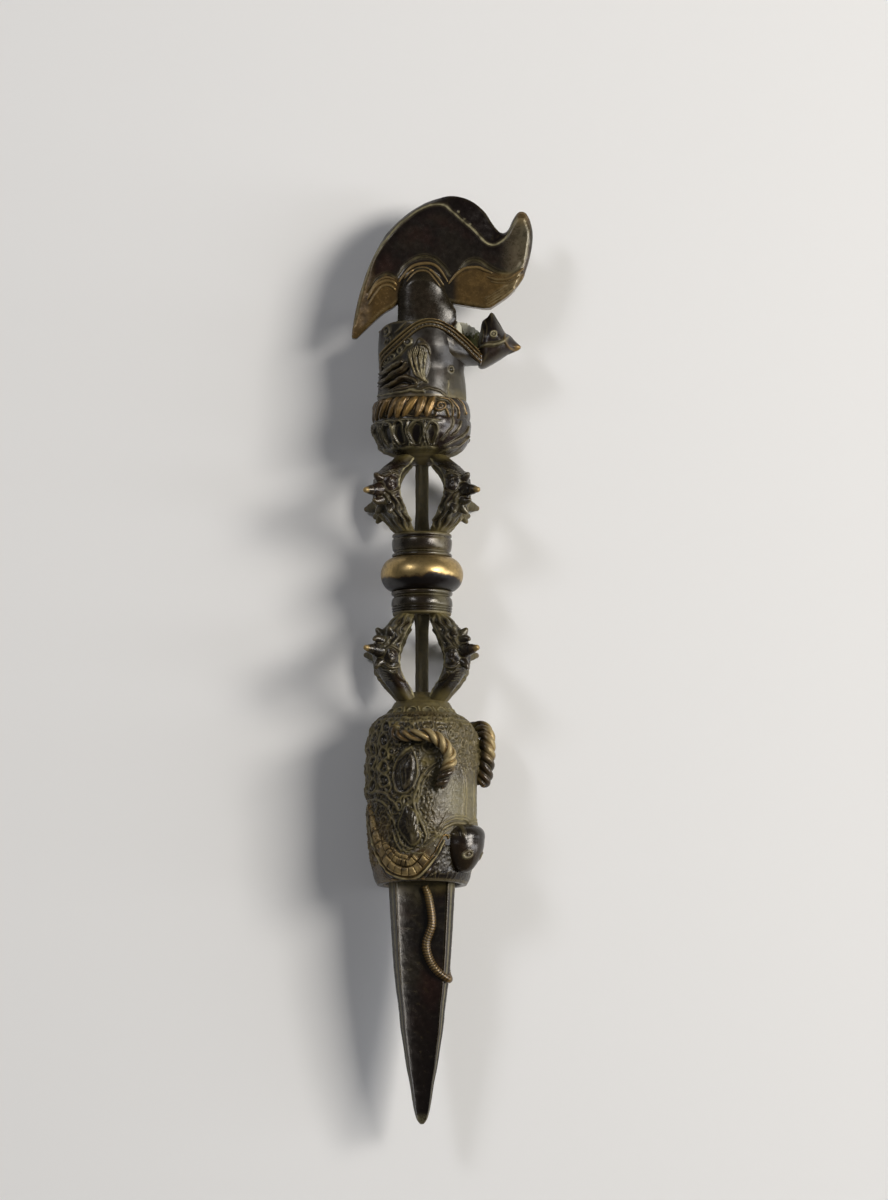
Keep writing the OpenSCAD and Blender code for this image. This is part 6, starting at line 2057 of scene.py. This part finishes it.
# Raised cords that edge the clouds: right of the axis and height, as seen on the front
CLOUD_CORDS = [
    ([(-17.1, 261.6), (-15.3, 264.6), (-13.0, 267.4), (-10.4, 267.8), (-8.1, 266.2)], 0.42),
    ([(-17.4, 263.4), (-15.0, 267.6), (-11.8, 269.3), (-9.2, 268.9), (-7.8, 267.4)], 0.5),
    ([(-16.9, 265.0), (-14.6, 268.8), (-11.6, 270.4), (-8.8, 269.8)], 0.36),
    ([(-7.8, 268.4), (-5.9, 271.2), (-3.2, 273.9), (0.2, 274.9), (3.4, 274.6), (5.8, 272.7),
        (8.2, 269.0)], 0.5),
    ([(-5.6, 270.0), (-3.0, 272.6), (0.0, 273.5), (2.4, 272.9), (4.8, 270.6), (6.9, 267.9)], 0.42),
    ([(-4.9, 268.8), (-2.6, 271.6), (-0.2, 272.5), (2.0, 271.9), (4.1, 269.5), (5.8, 267.2)], 0.36),
    ([(8.4, 268.3), (10.8, 271.4), (13.7, 273.3), (17.6, 273.6), (20.0, 272.7), (22.4, 271.8)], 0.5),
    ([(20.7, 270.6), (23.7, 269.7), (27.2, 270.0), (30.3, 271.8), (32.4, 273.4)], 0.5),
    ([(21.8, 269.2), (24.6, 268.6), (28.2, 269.0), (31.2, 270.8)], 0.36),
]


def make_clouds(sizes):
    """Raised cords on both faces of the crescent that draw the edges of the clouds."""
    parts = []
    for k, (line, radius) in enumerate(CLOUD_CORDS):
        for face in (1, -1):
            path = curve([(x, y - 0.3, 0) for x, y in line], 8)
            # A cord lies half sunk in the crescent, or in the stem's tongue where that covers it
            over_stem = (np.abs(path[:, 0]) < STEM_W / 2) & (path[:, 1] < stem_top(path[:, 0]) - 0.2)
            away = ease(0, 4.5, stem_top(path[:, 0]) - path[:, 1])
            tongue = STEM_T / 2 * (1 - (np.abs(path[:, 0]) / (STEM_W / 2)) ** 2.5 * 0.5) * (
                0.66 + 0.34 * away)
            path[:, 2] = face * np.where(over_stem, tongue, CRESCENT_T / 2 + 0.2)
            taper = 1 - 0.6 * np.abs(np.linspace(-1, 1, len(path))) ** 4
            parts.append(skin(f"cord {k} {face}", laid(tube_points(
                path, radius * taper, sides=14, up_hint=[0, 0, face]))))
    clouds = joined(parts, "cloud_cords_bronze")
    set_fields(clouds, gold=0.25, chalk=0.1)
    finish_piece(clouds, RUBBED, "crescent_clouds", rounds=4)


def make_materials(colours):
    """Every material of the dagger. The pieces look them up by name."""
    for name, bare, wear, dust, pale, red, rough in (
        (DARK, colours.bare, 0.3, 0.4, 0.2, 0.5, 0.2),
        (CARVED, colours.bare, 0.4, 0.4, 0.15, 0.4, 0.22),
        (PALE, colours.bare, 0.4, 0.6, 0.9, 0.1, 0.36),
        (RUBBED, colours.worn, 0.7, 0.55, 0.4, 0.4, 0.26),
        (MOUTH, colours.bare, 0.4, 0.35, 0.1, 0.6, 0.3),
    ):
        old_bronze(name, colours, bare, wear, dust, pale, red, rough, mouth=name == MOUTH)
    knob_brass(BRASS, colours)


def piece_operator(make, label):
    """The operator that makes one piece, or one group of like pieces, to the dagger's sizes."""
    class PieceOperator(bpy.types.Operator):
        __doc__ = make.__doc__
        bl_idname = make.__name__.replace("make_", "dagger.")
        bl_label = label

        def execute(self, context):
            make(context.scene.dagger_sizes)
            return {"FINISHED"}

    return PieceOperator


class DAGGER_OT_materials(bpy.types.Operator):
    """Make the bronze and the brass of the dagger"""

    bl_idname = "dagger.materials"
    bl_label = "Materials"

    def execute(self, context):
        make_materials(context.scene.dagger_colours)
        return {"FINISHED"}


class DAGGER_OT_stage(bpy.types.Operator):
    """Make the floor, the lamps and the camera"""

    bl_idname = "dagger.stage"
    bl_label = "Stage"

    def execute(self, context):
        make_stage(context, context.scene.dagger_colours)
        return {"FINISHED"}


PIECES = (
    (make_blade, "Blade"), (make_serpent, "Serpent"), (make_lower_head, "Lower head"),
    (make_lower_jaw, "Lower jaw"), (make_lower_snout, "Lower snout"), (make_horns, "Horns"),
    (make_neck, "Neck ring"), (make_rod, "Rod"), (make_collars, "Collars"), (make_knob, "Knob"),
    (make_prongs, "Prongs"), (make_lotus, "Lotus bulb"), (make_hair, "Hair ring"),
    (make_upper_head, "Upper head"), (make_upper_lips, "Upper lips"),
    (make_upper_snout, "Upper snout"), (make_stem, "Stem"), (make_crescent, "Crescent"),
    (make_clouds, "Clouds"), (make_pins, "Pins"),
)
OPERATORS = (
    DAGGER_OT_materials, *(piece_operator(make, label) for make, label in PIECES), DAGGER_OT_stage,
)


class DAGGER_PT_main(bpy.types.Panel):
    """Sizes, colours and pieces of the dagger"""

    bl_idname = "DAGGER_PT_main"
    bl_label = "Ritual dagger"
    bl_space_type = "VIEW_3D"
    bl_region_type = "UI"
    bl_category = "Dagger"

    def draw(self, context):
        for group in (context.scene.dagger_sizes, context.scene.dagger_colours):
            column = self.layout.column()
            for name in group.__annotations__:
                column.prop(group, name)
        column = self.layout.column()
        for operator in OPERATORS:
            column.operator(operator.bl_idname)


CLASSES = (DaggerSizes, DaggerColours) + OPERATORS + (DAGGER_PT_main,)


def register():
    for cls in CLASSES:
        bpy.utils.register_class(cls)
    bpy.types.Scene.dagger_sizes = PointerProperty(type=DaggerSizes)
    bpy.types.Scene.dagger_colours = PointerProperty(type=DaggerColours)


def unregister():
    del bpy.types.Scene.dagger_colours
    del bpy.types.Scene.dagger_sizes
    for cls in reversed(CLASSES):
        bpy.utils.unregister_class(cls)


def main():
    register()
    for operator in OPERATORS:
        getattr(bpy.ops.dagger, operator.bl_idname.split(".")[1])()


if __name__ == "__main__":
    main()
